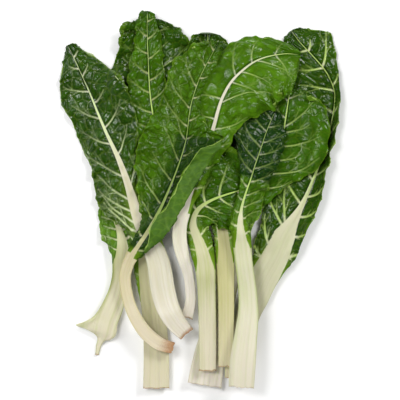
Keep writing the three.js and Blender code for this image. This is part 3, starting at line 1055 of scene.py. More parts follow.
    def _bump(self, graph: LeafGraph) -> Socket:
        """Makes the fine relief: small wrinkles on the blade, fibres on the stalk.

        Args:
            graph: The material.

        Returns:
            The bent normal.
        """
        wrinkles, fibres = graph.pattern(*self.WRINKLES), graph.pattern(*self.FIBRES)
        relief = graph.blend(graph.rib, graph.part(wrinkles, self.WRINKLED), fibres)
        made = graph.node("ShaderNodeBump")
        graph.fill(made, {**self.BUMP, "Height": relief})
        return made.outputs["Normal"]


# ---------------------------------------------------------------------------------------------------
# Leaves
# ---------------------------------------------------------------------------------------------------


class Heap:
    """Heights of the leaves laid so far, on a square grid of cells."""

    CELL = 1.0
    REACH = 240.0  # from the middle to each side
    DEPTH = -50.0  # height where nothing lies yet
    CLEARANCE = 0.35  # between one leaf and the next

    def __init__(self) -> None:
        """Starts with the bare surface."""
        count = int(2 * self.REACH / self.CELL)
        self.heights = np.full((count, count), self.DEPTH)

    def _cells(self, places: np.ndarray) -> tuple[np.ndarray, np.ndarray]:
        """Row and column of each place."""
        cells = np.floor((places[..., :2] + self.REACH) / self.CELL).astype(int)
        return cells[..., 1], cells[..., 0]

    def add(self, places: np.ndarray) -> None:
        """Raises the heap to a leaf that lies on it."""
        row, column = self._cells(places)
        np.maximum.at(self.heights, (row.ravel(), column.ravel()), places[..., 2].ravel())

    def below(self, places: np.ndarray) -> np.ndarray:
        """Finds the heap's height at some places.

        Args:
            places: The places, in millimetres.

        Returns:
            The highest point in the cell of each and the eight round it.
        """
        row, column = self._cells(places)
        found = [self.heights[row + dr, column + dc] for dr in (-1, 0, 1) for dc in (-1, 0, 1)]
        return np.max(found, axis=0)

    def lay(self, upper: np.ndarray, under: np.ndarray) -> None:
        """Raises a leaf, in place, so that it clears the heap and the floor, and adds it to the heap.

        Args:
            upper: Its upper face.
            under: Its under face.
        """
        low = np.minimum(upper[..., 2], under[..., 2])
        need = np.maximum(self.below(under) + self.CLEARANCE - low, self.CLEARANCE - low)
        lift = eased(np.maximum(need, 0.0), passes=40, keep=0.995)
        for face in (upper, under):
            face[..., 2] += lift
            self.add(face)


@dataclass(frozen=True)
class Stalk:
    """Detail of a leaf's stalk."""

    ridges: float = 5.0  # on the upper face, from one edge to the other
    relief: float = 0.35
    ragged: float = 0.8  # how unevenly the end is cut


@dataclass(frozen=True)
class Midrib:
    """How the stalk goes on through the blade."""

    slim: float = 0.55  # share of its width that shows as rib where it is thin
    pale: tuple[float, float] = (0.6, 3.2)  # half widths from which it is green, and cream
    young: float = 45.0  # length of blade that is yellow beside it
    bare: float = 0.0  # length from the cut end that is all stalk, however wide


@dataclass(frozen=True)
class Blisters:
    """The puffed cells between the veins."""

    size: float = 7.0
    height: float = 1.4
    stretch: float = 1.35
    swell: float = 2.2  # height of the broad swells under them
    follow: float = 1.0  # 1 where the rows of cells keep to the margin's length, 0 to the midrib's


@dataclass(frozen=True)
class Margin:
    """The edge of the blade."""

    ruffle: float = 1.9
    wave: float = 21.0
    uneven: float = 1.1
    curl: float = 0.0  # how far the margin of a rolled half stands up


@dataclass
class Leaf:
    """One leaf, from the cut end of its stalk to its tip."""

    node: str
    slot: Slot
    finish: LeafFinish
    seed: int
    veins: Venation = field(default_factory=Venation)
    stalk: Stalk = field(default_factory=Stalk)
    midrib: Midrib = field(default_factory=Midrib)
    blisters: Blisters = field(default_factory=Blisters)
    margin: Margin = field(default_factory=Margin)
    pitch: float = 0.88  # between points of the blade
    painted_shade_from: float = 900.0  # distance from the cut end past which the blade is painted in shade

    STALK_PITCH = 2.2  # between rows of a bare stalk
    RIM = 0.035  # place of an extra column beside each margin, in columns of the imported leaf
    WING = 0.9  # least width of a row's outer column where it has a blade
    LARGE_VEIN = 0.5  # half width of a vein that counts as large
    UNDER_STEP, ROLLED_STEP = 3, 2  # columns of the upper face to one below: as a rule, and where rolled

    def build(self, heap: Heap) -> bpy.types.Object:
        """Makes the leaf and lays it on the heap.

        Args:
            heap: The leaves below it, to which it is added.

        Returns:
            The finished piece.
        """
        sheet = self._sheet(Lattice.of_node(self.node))
        gap, size = Venation.gap(sheet, self.veins.lines(sheet, np.random.default_rng(self.seed)))
        relief = Relief(self, sheet, Noise(self.seed), gap, smoothstep(0.0, self.LARGE_VEIN, size))
        upper, under = relief.faces()
        heap.lay(upper, under)
        step = self.ROLLED_STEP if self.margin.curl else self.UNDER_STEP
        piece = Skin(f"{self.node}_dressed", sheet, upper, under, step).piece(relief.attributes())
        piece.data.materials.append(self.finish.material(f"{self.node}_finish"))
        return piece

    def _sheet(self, lattice: Lattice) -> Sheet:
        """Refines a packed leaf.

        Args:
            lattice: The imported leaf.

        Returns:
            The fine grid.
        """
        upper, under = lattice.upper, lattice.under
        widths = np.linalg.norm(np.diff(upper, axis=1), axis=-1)
        lengths = np.linalg.norm(np.diff(upper, axis=0), axis=-1)
        leafy = np.linalg.norm(upper[:, [0, -1]] - upper[:, [1, -2]], axis=-1).max(1) > self.WING
        pitches = np.where(leafy[1:] | leafy[:-1], self.pitch, self.STALK_PITCH)
        rows = spread(lengths.max(1), pitches)
        columns = spread(widths.max(0), np.full(widths.shape[1], self.pitch))
        columns = np.sort(np.concatenate([columns, [self.RIM, widths.shape[1] - self.RIM]]))
        fine = [
            refined(refined(face.swapaxes(0, 1), columns).swapaxes(0, 1), rows) for face in (upper, under)
        ]
        middle = int(np.argmin(np.abs(columns - lattice.middle)))
        stations = np.arange(len(upper))
        rib, blades = lattice.widths()
        ribs = np.interp(rows, stations, rib)[:, None]
        blades = np.stack([np.interp(rows, stations, blades[:, i]) for i in (0, 1)], axis=-1)
        return Sheet.measured(*fine, middle, ribs, blades)


@dataclass
class Relief:
    """What makes a fine grid a leaf: the thin blade, the blisters, the ruffles and the ridges.

    The first five fields are given, and the rest are found from them. Those that aren't places, normals
    or distances go from 0 to about 1. A bare number that is added to a place in the noise, or that the
    side is multiplied by there, only reads another part of it.
    """

    leaf: Leaf
    sheet: Sheet
    noise: Noise
    gap: np.ndarray  # distance outside the nearest vein, negative inside it
    size: np.ndarray  # how large that vein is
    middle: np.ndarray = field(init=False)  # places half way between the two faces
    level: np.ndarray = field(init=False)  # unit normals there
    past: np.ndarray = field(init=False)  # past the bare stalk
    wide: np.ndarray = field(init=False)  # where the blade is wide enough to have its relief
    leafy: np.ndarray = field(init=False)  # on the blade, clear of the rib
    edge: np.ndarray = field(init=False)  # near the margin
    rolled: np.ndarray = field(init=False)  # lying on its face
    beside: np.ndarray = field(init=False)  # distance outside the rib that shows
    height: np.ndarray = field(init=False)  # of the blisters
    border: np.ndarray = field(init=False)  # distance to the border between them, in blisters

    THICKNESS = 0.7  # of the blade

    # Blisters. Distances inside a cell are in cells, with 0 on its border.
    DOME_FULL, WRINKLE_FULL = 0.6, 0.5  # how far inside it a blister, and a wrinkle, has its full height
    LOWEST_DOME = 0.45  # height of the lowest blister, as a share of the highest
    WRINKLE_LONG, WRINKLE_WIDE, WRINKLE_HIGH = 0.45, 0.42, 0.14  # as shares of a blister
    WRINKLE_BORDER = 0.06  # by how much the borders between wrinkles are fainter
    SIDES_APART = 100  # so that the two halves of the blade read different parts of the noise

    # Margin and stalk.
    STRAY_LONG, STRAY = 0.6, 2.5  # length in which the waves stray, in waves, and how far, in radians
    EVEN_WAVE, ODD_WAVE = 0.7, 0.6  # shares of the even waves and of the noise in the ruffles
    SMALL_NOTCHES = 0.3  # depth of the small irregularities, as a share of the large ones
    BROAD_COUNT, NARROW_COUNT = 0.55, 1.3  # hills and dips across the stalk to each of its ridges
    BROAD_HIGH, NARROW_HIGH = 1.3, 0.55  # heights of the two kinds of ridge
    FULL_STALK = 10  # half width of a stalk whose ridges have their own height
    RIDGE_LIMITS = (0.1, 1.3)  # shares of that height on the thinnest and on the widest stalk

    # Veins and colour.
    FLAT_VEIN = 0.3  # size of vein beside which the blisters are flattened in full
    LEAST_GROOVE, LEAST_VEIN = 0.3, 0.12  # depth and colour of the smallest vein, as shares of the largest
    ROLLED_PALER = 0.8  # share of a vein's colour that is lost on a rolled blade
    FOLD_PAINTED_SHADE = 0.9  # strength of the painted shade on the blade beside a fold
    YOUNG_BEFORE = 10.0  # length before the blade's start where it is youngest

    # Ranges of a measure, from where something is absent to where it is there in full.
    RIB_THICK = (1.3, 2.4)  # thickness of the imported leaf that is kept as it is
    BLADE_WIDE = (0.5, 5.0)  # width of blade that has relief
    MARGIN_WIDE = (2.0, 14.0)  # width of blade that has a ruffled margin
    RIB_SHOWN = (2.0, 13.0)  # half width of rib that shows at its full width
    BLISTER_GAP = (-0.2, 2.6)  # distance from a vein where blisters rise
    ROLLED_OVER = (0.1, -0.3)  # upward part of the normal where the blade lies on its face
    BARE_WING = (1.0, 0.2)  # width of blade beside a rib that is as pale as the stalk
    RIB_SIDE = (0.35, -0.35)  # distance outside the rib where its colour is full
    RIDGED = (1.02, 0.8)  # distance out on the stalk where it has ridges, as a share of its half width
    FOLDED = (0.3, 0.9)  # how far over the blade is rolled where a row counts as folded
    ON_TOP = (0.4, 0.9)  # and where it lies on the blade below
    SMALL_VEIN = (0.2, 0.0)  # distance from the border between blisters where a small vein shows

    ROUND_MARGIN = 0.5  # width over which the margin thins out
    ROUND_TIP = 0.8  # length over which the tip does
    TIP_START = 0.1  # share of its rounding that the very end has
    TIP_FADE = 8.0  # length before the tip in which the rib thins out
    TIP_BACK = 0.75  # how far a tip's corners are drawn back, as a share of its half width
    TIP_LONG = 2.2  # how long the rounded part is, as a share of the same
    FULL_ARC = 0.97  # how far out on the arc its corners are
    CUT_LONG, CUT_WAVE = 9.0, 2.2  # length of stalk that the uneven cut bends, and width of a bite
    STALK_FADE = 6.0  # length in which a bare stalk gives way to the blade
    BLADE_FADE = 2.5  # width beside the rib in which the blade's relief sets in
    PAINTED_SHADE_FADE = 4.0  # length in which the painted shade on the blade sets in
    LEAST_BLADE, YOUNG_BLADE = 0.25, 3.0  # widths of blade that count as any, and as its start
    MARGIN_REACH, CURL_REACH, FOLD_REACH = 6.0, 9.0, 13.0  # widths of what is ruffled, curled and painted in shade
    NEAR = 5.0  # width beside the rib that counts as near

    GROOVE_DEPTH, GROOVE_WIDTH = 0.5, 1.1  # of the hollow that a vein lies in
    VEIN_HEIGHT, VEIN_WIDTH = 0.25, 0.5  # of its own ridge
    VEIN_ABOVE, VEIN_BELOW = 0.4, 1.3  # how much of that ridge each face shows
    RIDGE_BELOW = 0.6  # how strong the stalk's ridges are on its underside
    CREST_HEIGHT, CREST_WIDTH, CREST_BEFORE = 1.8, 3.2, 2.5  # of the ridge before the part painted in shade
    SWELL_LONG, SWELL_WIDE = 28.0, 20.0  # of the broad swells
    NOTCH, SMALL_NOTCH = 13.0, 5.0  # lengths of the margin's irregularities
    BROAD_RIDGE, NARROW_RIDGE = 90.0, 70.0  # lengths in which the stalk's ridges change
    VEIN_COLOUR, RIM_COLOUR = 0.48, 1.6  # half widths of the coloured lines of veins and of stalk edges
    BACK_FLATTER = 0.6  # share of the blisters' height that a rolled blade loses
    WARP, WARP_LONG = 1.6, 9.0  # how far the rows of blisters stray, and in what length
    MOST_OVER = 6.0  # highest lift that a rolled half gets

    def __post_init__(self) -> None:
        """Tells the parts of the leaf from each other."""
        sheet, bare, slim = self.sheet, self.leaf.midrib.bare, self.leaf.midrib.slim
        self.middle = 0.5 * (sheet.upper + sheet.under)
        self.level = facing(self.middle)
        shown = sheet.rib * at_least(slim, smoothstep(*self.RIB_SHOWN, sheet.rib))
        self.beside = np.abs(sheet.across) - shown
        fade = self.STALK_FADE
        self.past = smoothstep(bare - fade, bare + fade, sheet.along + fade)
        self.wide = smoothstep(*self.BLADE_WIDE, sheet.blade)
        self.leafy = smoothstep(0.0, self.BLADE_FADE, self.beside) * self.wide * self.past
        self.edge = self._from_margin(self.MARGIN_REACH) * smoothstep(*self.MARGIN_WIDE, sheet.blade)
        turned = smoothstep(*self.ROLLED_OVER, self.level[..., 2])
        self.rolled = turned * self.leafy
        dome, self.border = self._dome()
        free = 1 - (1 - smoothstep(*self.BLISTER_GAP, self.gap)) * smoothstep(0.0, self.FLAT_VEIN, self.size)
        self.height = dome * free * self.leafy * (1 - self.BACK_FLATTER * turned)

    def _from_margin(self, reach: float) -> np.ndarray:
        """Falls from 1 on the margin, to about a third at the reach from it."""
        return np.exp(-np.maximum(self.sheet.margin, 0) / reach)

    def faces(self) -> tuple[np.ndarray, np.ndarray]:
        """Shapes the leaf.

        Returns:
            The upper and under faces.
        """
        upper, under = self._slab()
        shift = self._unevenness()[..., None] * unit(np.gradient(self.middle, axis=1))
        bulk = self._bulk()
        rise = self.VEIN_HEIGHT * bell(np.maximum(self.gap, -0.1), self.VEIN_WIDTH) * self.leafy * self.size
        ridges = self._ridges() * (1 - self.leafy)
        above, below = facing(upper), facing(under)
        upper = upper + shift + above * (bulk + self.VEIN_ABOVE * rise + ridges)[..., None]
        depth = bulk - self.VEIN_BELOW * rise - self.RIDGE_BELOW * ridges
        under = under + shift + below * depth[..., None]
        under[:, [0, -1]] = upper[:, [0, -1]] = 0.5 * (upper[:, [0, -1]] + under[:, [0, -1]])
        self._cut(upper, under)
        rounding = self._rounding(upper)
        upper -= rounding
        under -= rounding
        if self.leaf.margin.curl:
            lift = self.leaf.margin.curl * self.rolled * self._from_margin(self.CURL_REACH)
            upper[..., 2] += lift
            under[..., 2] += lift
            lift = self._over_itself(upper, under)
            upper[..., 2] += lift
            under[..., 2] += lift
        return upper, under

    def _slab(self) -> tuple[np.ndarray, np.ndarray]:
        """Makes the smooth leaf: the stalk as it is packed, and a thin blade.

        Returns:
            The upper and under faces.
        """
        sheet = self.sheet
        thick = np.linalg.norm(sheet.upper - sheet.under, axis=-1)
        packed = smoothstep(*self.RIB_THICK, thick) * smoothstep(0.0, self.TIP_FADE, sheet.from_tip)
        packed = packed[..., None]
        half = 0.5 * self.THICKNESS * np.sqrt(swelling(sheet.margin / self.ROUND_MARGIN))
        half = half * np.sqrt(swelling(sheet.from_tip / self.ROUND_TIP + self.TIP_START))
        out = self.level * half[..., None]
        upper = (1 - packed) * (self.middle + out) + packed * sheet.upper
        under = (1 - packed) * (self.middle - out) + packed * sheet.under
        return upper, under

    def _bulk(self) -> np.ndarray:
        """Adds up what lifts both faces together: blisters, swells, ruffles, hollows and the crest.

        Returns:
            The lift of each point.
        """
        sheet, blisters = self.sheet, self.leaf.blisters
        waves = self.noise.waves(sheet.own_along / self.SWELL_LONG, sheet.across / self.SWELL_WIDE + 7)
        groove = -self.GROOVE_DEPTH * bell(np.maximum(self.gap, 0), self.GROOVE_WIDTH)
        groove = groove * self.leafy * at_least(self.LEAST_GROOVE, self.size)
        before = sheet.along - self.leaf.painted_shade_from + self.CREST_BEFORE
        crest = self.CREST_HEIGHT * bell(before, self.CREST_WIDTH) * self.leafy
        ruffle = self._ruffle() * self.edge
        return blisters.height * self.height + blisters.swell * waves * self.leafy + ruffle + groove + crest

    def _unevenness(self) -> np.ndarray:
        """How far each point is moved to the right so that the margin stands out or in."""
        along, side = self.sheet.own_along, self.sheet.side
        uneven = self.noise.waves(along / self.NOTCH + 3, side * 9.5)
        uneven += self.SMALL_NOTCHES * self.noise.waves(along / self.SMALL_NOTCH, side * 5.5)
        return self.leaf.margin.uneven * uneven * self.edge**2 * side

    def _dome(self) -> tuple[np.ndarray, np.ndarray]:
        """Makes the blisters, in rows that follow the side veins, with small wrinkles on them.

        Returns:
            Their height, about 0 to 1, and the distance to the border between them.
        """
        sheet, noise, blisters = self.sheet, self.noise, self.leaf.blisters
        lean, size = radians(self.leaf.veins.angle), blisters.size
        out = np.abs(sheet.across)
        along = sheet.along + blisters.follow * (sheet.own_along - sheet.along)
        first = along * np.cos(lean) + out * np.sin(lean)
        second = along * np.sin(lean) - out * np.cos(lean) + self.SIDES_APART * (sheet.across > 0)
        first = first + self.WARP * noise.waves(first / self.WARP_LONG, second / self.WARP_LONG)
        stray = noise.waves(first / self.WARP_LONG + 20, second / self.WARP_LONG + 20)
        second = second + self.WARP * stray
        inside, shade = noise.cells(first / (size * blisters.stretch), second / size)
        long, wide = self.WRINKLE_LONG * size, self.WRINKLE_WIDE * size
        fine, _ = noise.cells(first / long + 9, second / wide + 5)
        dome = swelling(inside / self.DOME_FULL) * at_least(self.LOWEST_DOME, shade)
        dome = dome + self.WRINKLE_HIGH * swelling(fine / self.WRINKLE_FULL)
        return dome, np.minimum(inside, self.WRINKLE_BORDER + fine)

    def _ruffle(self) -> np.ndarray:
        """Waves of the margin, as the lift that each point would have on it."""
        margin, along, side = self.leaf.margin, self.sheet.own_along, self.sheet.side
        wave = self.noise.waves(along / (self.STRAY_LONG * margin.wave), side * 3.5)
        swing = np.sin(2 * np.pi * along / margin.wave + self.STRAY * wave + side)
        return margin.ruffle * (self.EVEN_WAVE * swing + self.ODD_WAVE * wave)

    def _ridges(self) -> np.ndarray:
        """Long ridges of the stalk, as the lift of each point."""
        sheet, stalk = self.sheet, self.leaf.stalk
        place = sheet.across / sheet.rib
        broad = self.noise.waves(sheet.along / self.BROAD_RIDGE, place * self.BROAD_COUNT * stalk.ridges + 11)
        finer = place * self.NARROW_COUNT * stalk.ridges + 31
        narrow = self.noise.waves(sheet.along / self.NARROW_RIDGE + 5, finer)
        size = stalk.relief * np.clip(sheet.rib / self.FULL_STALK, *self.RIDGE_LIMITS)
        size = size * smoothstep(*self.RIDGED, np.abs(place))
        return size * (self.BROAD_HIGH * broad + self.NARROW_HIGH * narrow)

    def _cut(self, upper: np.ndarray, under: np.ndarray) -> None:
        """Cuts the end of the stalk a little unevenly, in place.

        Args:
            upper: The upper face.
            under: The under face.
        """
        way = unit(upper[0] - upper[1])
        place = self.sheet.across[0] / self.CUT_WAVE
        fade = smoothstep(self.CUT_LONG, 0.0, self.sheet.along)[..., None]
        for face, row in ((upper, 0.0), (under, 4.0)):
            bite = self.leaf.stalk.ragged * self.noise.waves(place, np.full_like(place, row))
            face += fade * way * bite[:, None]
        under[:, [0, -1]] = upper[:, [0, -1]]

    def _rounding(self, upper: np.ndarray) -> np.ndarray:
        """Rounds the tip.

        Args:
            upper: The upper face.

        Returns:
            How far each point is drawn back, as a vector.
        """
        across = self.sheet.across[-1]
        halves = np.where(across < 0, -across[0], across[-1])
        place = np.clip(np.abs(across) / (halves + 1e-9), 0, 1)
        back = self.TIP_BACK * halves * (1 - np.sqrt(1 - self.FULL_ARC * place**2))
        fade = smoothstep(1.0, 0.0, self.sheet.from_tip / (self.TIP_LONG * halves + 1e-9))
        return (fade * back)[..., None] * unit(upper[-1] - upper[-2])

    def _over_itself(self, upper: np.ndarray, under: np.ndarray) -> np.ndarray:
        """Raises a rolled half so that it clears the blade under it.

        Args:
            upper: The upper face.
            under: The under face.

        Returns:
            The lift of each point.
        """
        own = Heap()
        own.add(upper[self.rolled < self.ON_TOP[0]])
        low = np.minimum(upper[..., 2], under[..., 2])
        need = np.clip(own.below(upper) + own.CLEARANCE - low, 0.0, self.MOST_OVER)
        need = need * smoothstep(*self.ON_TOP, self.rolled)
        return eased(need, passes=12, keep=0.97, where=self.rolled)

    def attributes(self) -> dict[str, np.ndarray]:
        """Tells the finish what each point is.

        Returns:
            The tissue, form and tint attributes by name.
        """
        sheet, leafy, bare = self.sheet, self.leafy, 1 - self.past
        beside = np.where(sheet.blade < self.LEAST_BLADE, -sheet.rib, self.beside)
        rib = np.maximum(smoothstep(*self.RIB_SIDE, beside), bare)
        strength = self.wide * self.past * at_least(self.LEAST_VEIN, self.size)
        strength = strength * (1 - self.ROLLED_PALER * self.rolled)
        vein = bell(np.maximum(self.gap, 0.0), self.VEIN_COLOUR) * strength
        small = smoothstep(*self.SMALL_VEIN, self.border) * leafy
        lined = bell(np.maximum(sheet.rib - np.abs(sheet.across), 0), self.RIM_COLOUR) * (1 - leafy)
        # Painted shade: the blade beyond the bend is drawn dark from here on.
        painted_shade_share = smoothstep(self.leaf.painted_shade_from, self.leaf.painted_shade_from + self.PAINTED_SHADE_FADE, sheet.along)
        # Painted shade in the fold: the trough between the midrib and a rolled half is drawn dark.
        if self.leaf.margin.curl:
            folded = smoothstep(*self.FOLDED, self.rolled.max(1))[:, None]
            shaded = np.where(sheet.across > 0, 1 - self.rolled, bell(sheet.across, self.FOLD_REACH))
            painted_shade_share = np.maximum(painted_shade_share, self.FOLD_PAINTED_SHADE * blurred(folded * shaded, 4))
        widest = sheet.blade.max(1)
        pale = np.maximum(smoothstep(*self.leaf.midrib.pale, sheet.rib), bare)
        pale = np.maximum(pale, smoothstep(*self.BARE_WING, widest)[:, None])
        start = sheet.along[np.argmax(widest > self.YOUNG_BLADE), 0]
        youth = smoothstep(start + self.leaf.midrib.young, start - self.YOUNG_BEFORE, sheet.along)
        near = np.exp(-np.maximum(beside, 0.0) / self.NEAR)
        return {
            TISSUE: np.stack([rib, vein, small], axis=-1),
            FORM: np.stack([self.height, np.where(rib > 0.5, lined, self.edge), painted_shade_share], axis=-1),
            TINT: np.stack([pale, youth, near], axis=-1),
        }


@dataclass
class Skin:
    """A leaf's two faces as one closed piece."""

    name: str
    sheet: Sheet
    upper: np.ndarray
    under: np.ndarray
    step: int  # columns of the upper face to one of the under face

    CUT_DEPTH = 0.4  # of the hollow in the cut end
    SMOOTH_ANGLE = 70.0  # least angle of an edge that stays sharp, in degrees

    # Places in the piece's map, whose sides are 1.
    FACE_MIDDLES = (0.25, 0.75)  # of the upper and the under face, from the left
    FACE_SHARE = (0.48, 0.97)  # width and height that a face may take up
    FACE_START = 0.02  # height where it begins
    FACE_SPARE = (1.02, 1.04)  # room round it, as a share of its own width and height
    CAP_SPOTS = ((0.94, 0.03), (0.94, 0.08))  # of the cut end and the tip
    CAP_RADIUS = 0.02

    @property
    def kept(self) -> list[int]:
        """Columns of the under face, from the right margin back to the left."""
        last = self.upper.shape[1] - 1
        return [c for c in range(1, last) if c in (1, last - 1) or c % self.step == 0][::-1]

    def _wrap(self, top: np.ndarray, back: np.ndarray) -> np.ndarray:
        """Values over the upper face and back under it, row by row."""
        return np.concatenate([top, back[:, self.kept], top[:, :1]], axis=1)

    def piece(self, layers: dict[str, np.ndarray]) -> bpy.types.Object:
        """Wraps a plane grid round the leaf and closes it.

        Args:
            layers: The attributes of each point, by name.

        Returns:
            The piece, closed and smooth.
        """
        piece, row, column = self._grid(self._wrap(self.upper, self.under) * MM)
        self._map(piece.data, row, column)
        sheet = self.sheet
        place = np.stack([sheet.along * MM, sheet.across * MM, np.zeros_like(sheet.along)], axis=-1)
        wrapped = {name: self._wrap(values, values) for name, values in layers.items()}
        wrapped[PLACE] = self._wrap(place, place + (0.0, 0.0, 1.0))
        for name, values in wrapped.items():
            layer = piece.data.attributes.new(name, "FLOAT_VECTOR", "POINT")
            layer.data.foreach_set("vector", values[row, column].ravel())
        self._close(piece, Vector(self.upper[-1].mean(0) * MM))
        self._caps(piece.data)
        return piece

    def _grid(self, places: np.ndarray) -> tuple[bpy.types.Object, np.ndarray, np.ndarray]:
        """Adds a plane grid and bends it round the leaf.

        Args:
            places: Where its points go, in metres, shape (rows, around, 3).

        Returns:
            The piece, and the row and column of each of its points.
        """
        rows, around = places.shape[:2]
        bpy.ops.object.select_all(action="DESELECT")
        bpy.ops.mesh.primitive_grid_add(x_subdivisions=around - 1, y_subdivisions=rows - 1, size=2)
        piece = bpy.context.object
        piece.name = piece.data.name = self.name
        flat = read(piece.data.vertices, "co", 3, float)
        column = np.rint((flat[:, 0] + 1) / 2 * (around - 1)).astype(int)
        row = np.rint((flat[:, 1] + 1) / 2 * (rows - 1)).astype(int)
        piece.data.vertices.foreach_set("co", places[row, column].ravel())
        return piece, row, column

    def _map(self, mesh: bpy.types.Mesh, row: np.ndarray, column: np.ndarray) -> None:
        """Lays the leaf's two faces out flat, side by side, in its map.

        Args:
            mesh: The wrapped grid.
            row: Row of each of its points.
            column: Column of each of its points.
        """
        along, across = self.sheet.along, self.sheet.across
        columns = across.shape[1]
        corner = read(mesh.loops, "vertex_index", kind=np.int32)
        on_back = column[corner].reshape(-1, 4).min(1).repeat(4) >= columns - 1
        own = np.array([*range(columns), *self.kept, 0])[column[corner]]
        wide = max(np.ptp(across) * self.FACE_SPARE[0], 1.0)
        tall = along.max() * self.FACE_SPARE[1]
        scale = min(self.FACE_SHARE[0] / wide, self.FACE_SHARE[1] / tall)
        out = across[row[corner], own] - 0.5 * (across.min() + across.max())
        u = np.where(on_back, self.FACE_MIDDLES[1], self.FACE_MIDDLES[0]) + out * scale
        v = self.FACE_START + along[row[corner], own] * scale
        layer = mesh.uv_layers[0]
        layer.name = BAKE_MAP
        layer.uv.foreach_set("vector", np.stack([u, v], axis=-1).astype(np.float32).ravel())

    def _close(self, piece: bpy.types.Object, tip: Vector) -> None:
        """Joins the seam, fills the cut end and the tip, and smooths the skin.

        Args:
            piece: The wrapped grid.
            tip: The middle of the tip.
        """
        bpy.ops.object.mode_set(mode="EDIT")
        bpy.ops.mesh.select_mode(type="VERT")
        bpy.ops.mesh.select_all(action="SELECT")
        bpy.ops.mesh.remove_doubles(threshold=1e-7)
        bpy.ops.mesh.select_all(action="DESELECT")
        bpy.ops.mesh.select_mode(type="EDGE")
        bpy.ops.mesh.select_non_manifold(extend=False, use_multi_face=False, use_non_contiguous=False)
        bpy.ops.mesh.edge_face_add()
        bpy.ops.mesh.select_mode(type="FACE")
        ends = [face for face in bmesh.from_edit_mesh(piece.data).faces if face.select]
        max(ends, key=lambda face: (face.calc_center_median() - tip).length).select_set(False)
        bpy.ops.mesh.quads_convert_to_tris(ngon_method="BEAUTY")
        bpy.ops.mesh.select_all(action="DESELECT")
        bpy.ops.mesh.select_face_by_sides(number=4, type="GREATER")
        bpy.ops.mesh.poke(offset=-self.CUT_DEPTH * MM)
        bpy.ops.mesh.select_all(action="SELECT")
        bpy.ops.mesh.normals_make_consistent(inside=False)
        if bmesh.from_edit_mesh(piece.data).calc_volume(signed=True) < 0:
            bpy.ops.mesh.flip_normals()
        bpy.ops.object.mode_set(mode="OBJECT")
        bpy.ops.object.shade_smooth_by_angle(angle=radians(self.SMOOTH_ANGLE))

    def _caps(self, mesh: bpy.types.Mesh) -> None:
        """Gives the cut end and the tip their own places in the map, and the cut a pale heart.

        Args:
            mesh: The closed mesh, whose only triangles are at its two ends.
        """
        corner = read(mesh.loops, "vertex_index", kind=np.int32)
        start = read(mesh.polygons, "loop_start", kind=np.int32)
        sides = read(mesh.polygons, "loop_total", kind=np.int32)
        loops = start[sides == 3][:, None] + np.arange(3)
        layer = mesh.uv_layers[0].uv
        uv = read(layer, "vector", 2)
        centre = np.argmax(np.bincount(corner[loops].ravel()))
        fan = (corner[loops] == centre).any(1)
        for mine, spot in zip((loops[fan], loops[~fan]), self.CAP_SPOTS):
            ring = np.setdiff1d(corner[mine], [centre])
            turn = 2 * np.pi * np.searchsorted(ring, corner[mine]) / len(ring)
            disc = spot + self.CAP_RADIUS * np.stack([np.cos(turn), np.sin(turn)], axis=-1)
            uv[mine] = np.where((corner[mine] == centre)[..., None], spot, disc)
        layer.foreach_set("vector", uv.ravel())
        for name, heart in CUT_HEART.items():
            values = read(mesh.attributes[name].data, "vector", 3)
            values[centre] = heart
            mesh.attributes[name].data.foreach_set("vector", values.ravel())


def laterals(*ends: tuple[float, float, float, float]) -> tuple[Lateral, ...]:
    """Side veins from their two ends in millimetres: x and y at the midrib, then x and y outside."""
    return tuple(Lateral(end[:2], end[2:]) for end in ends)


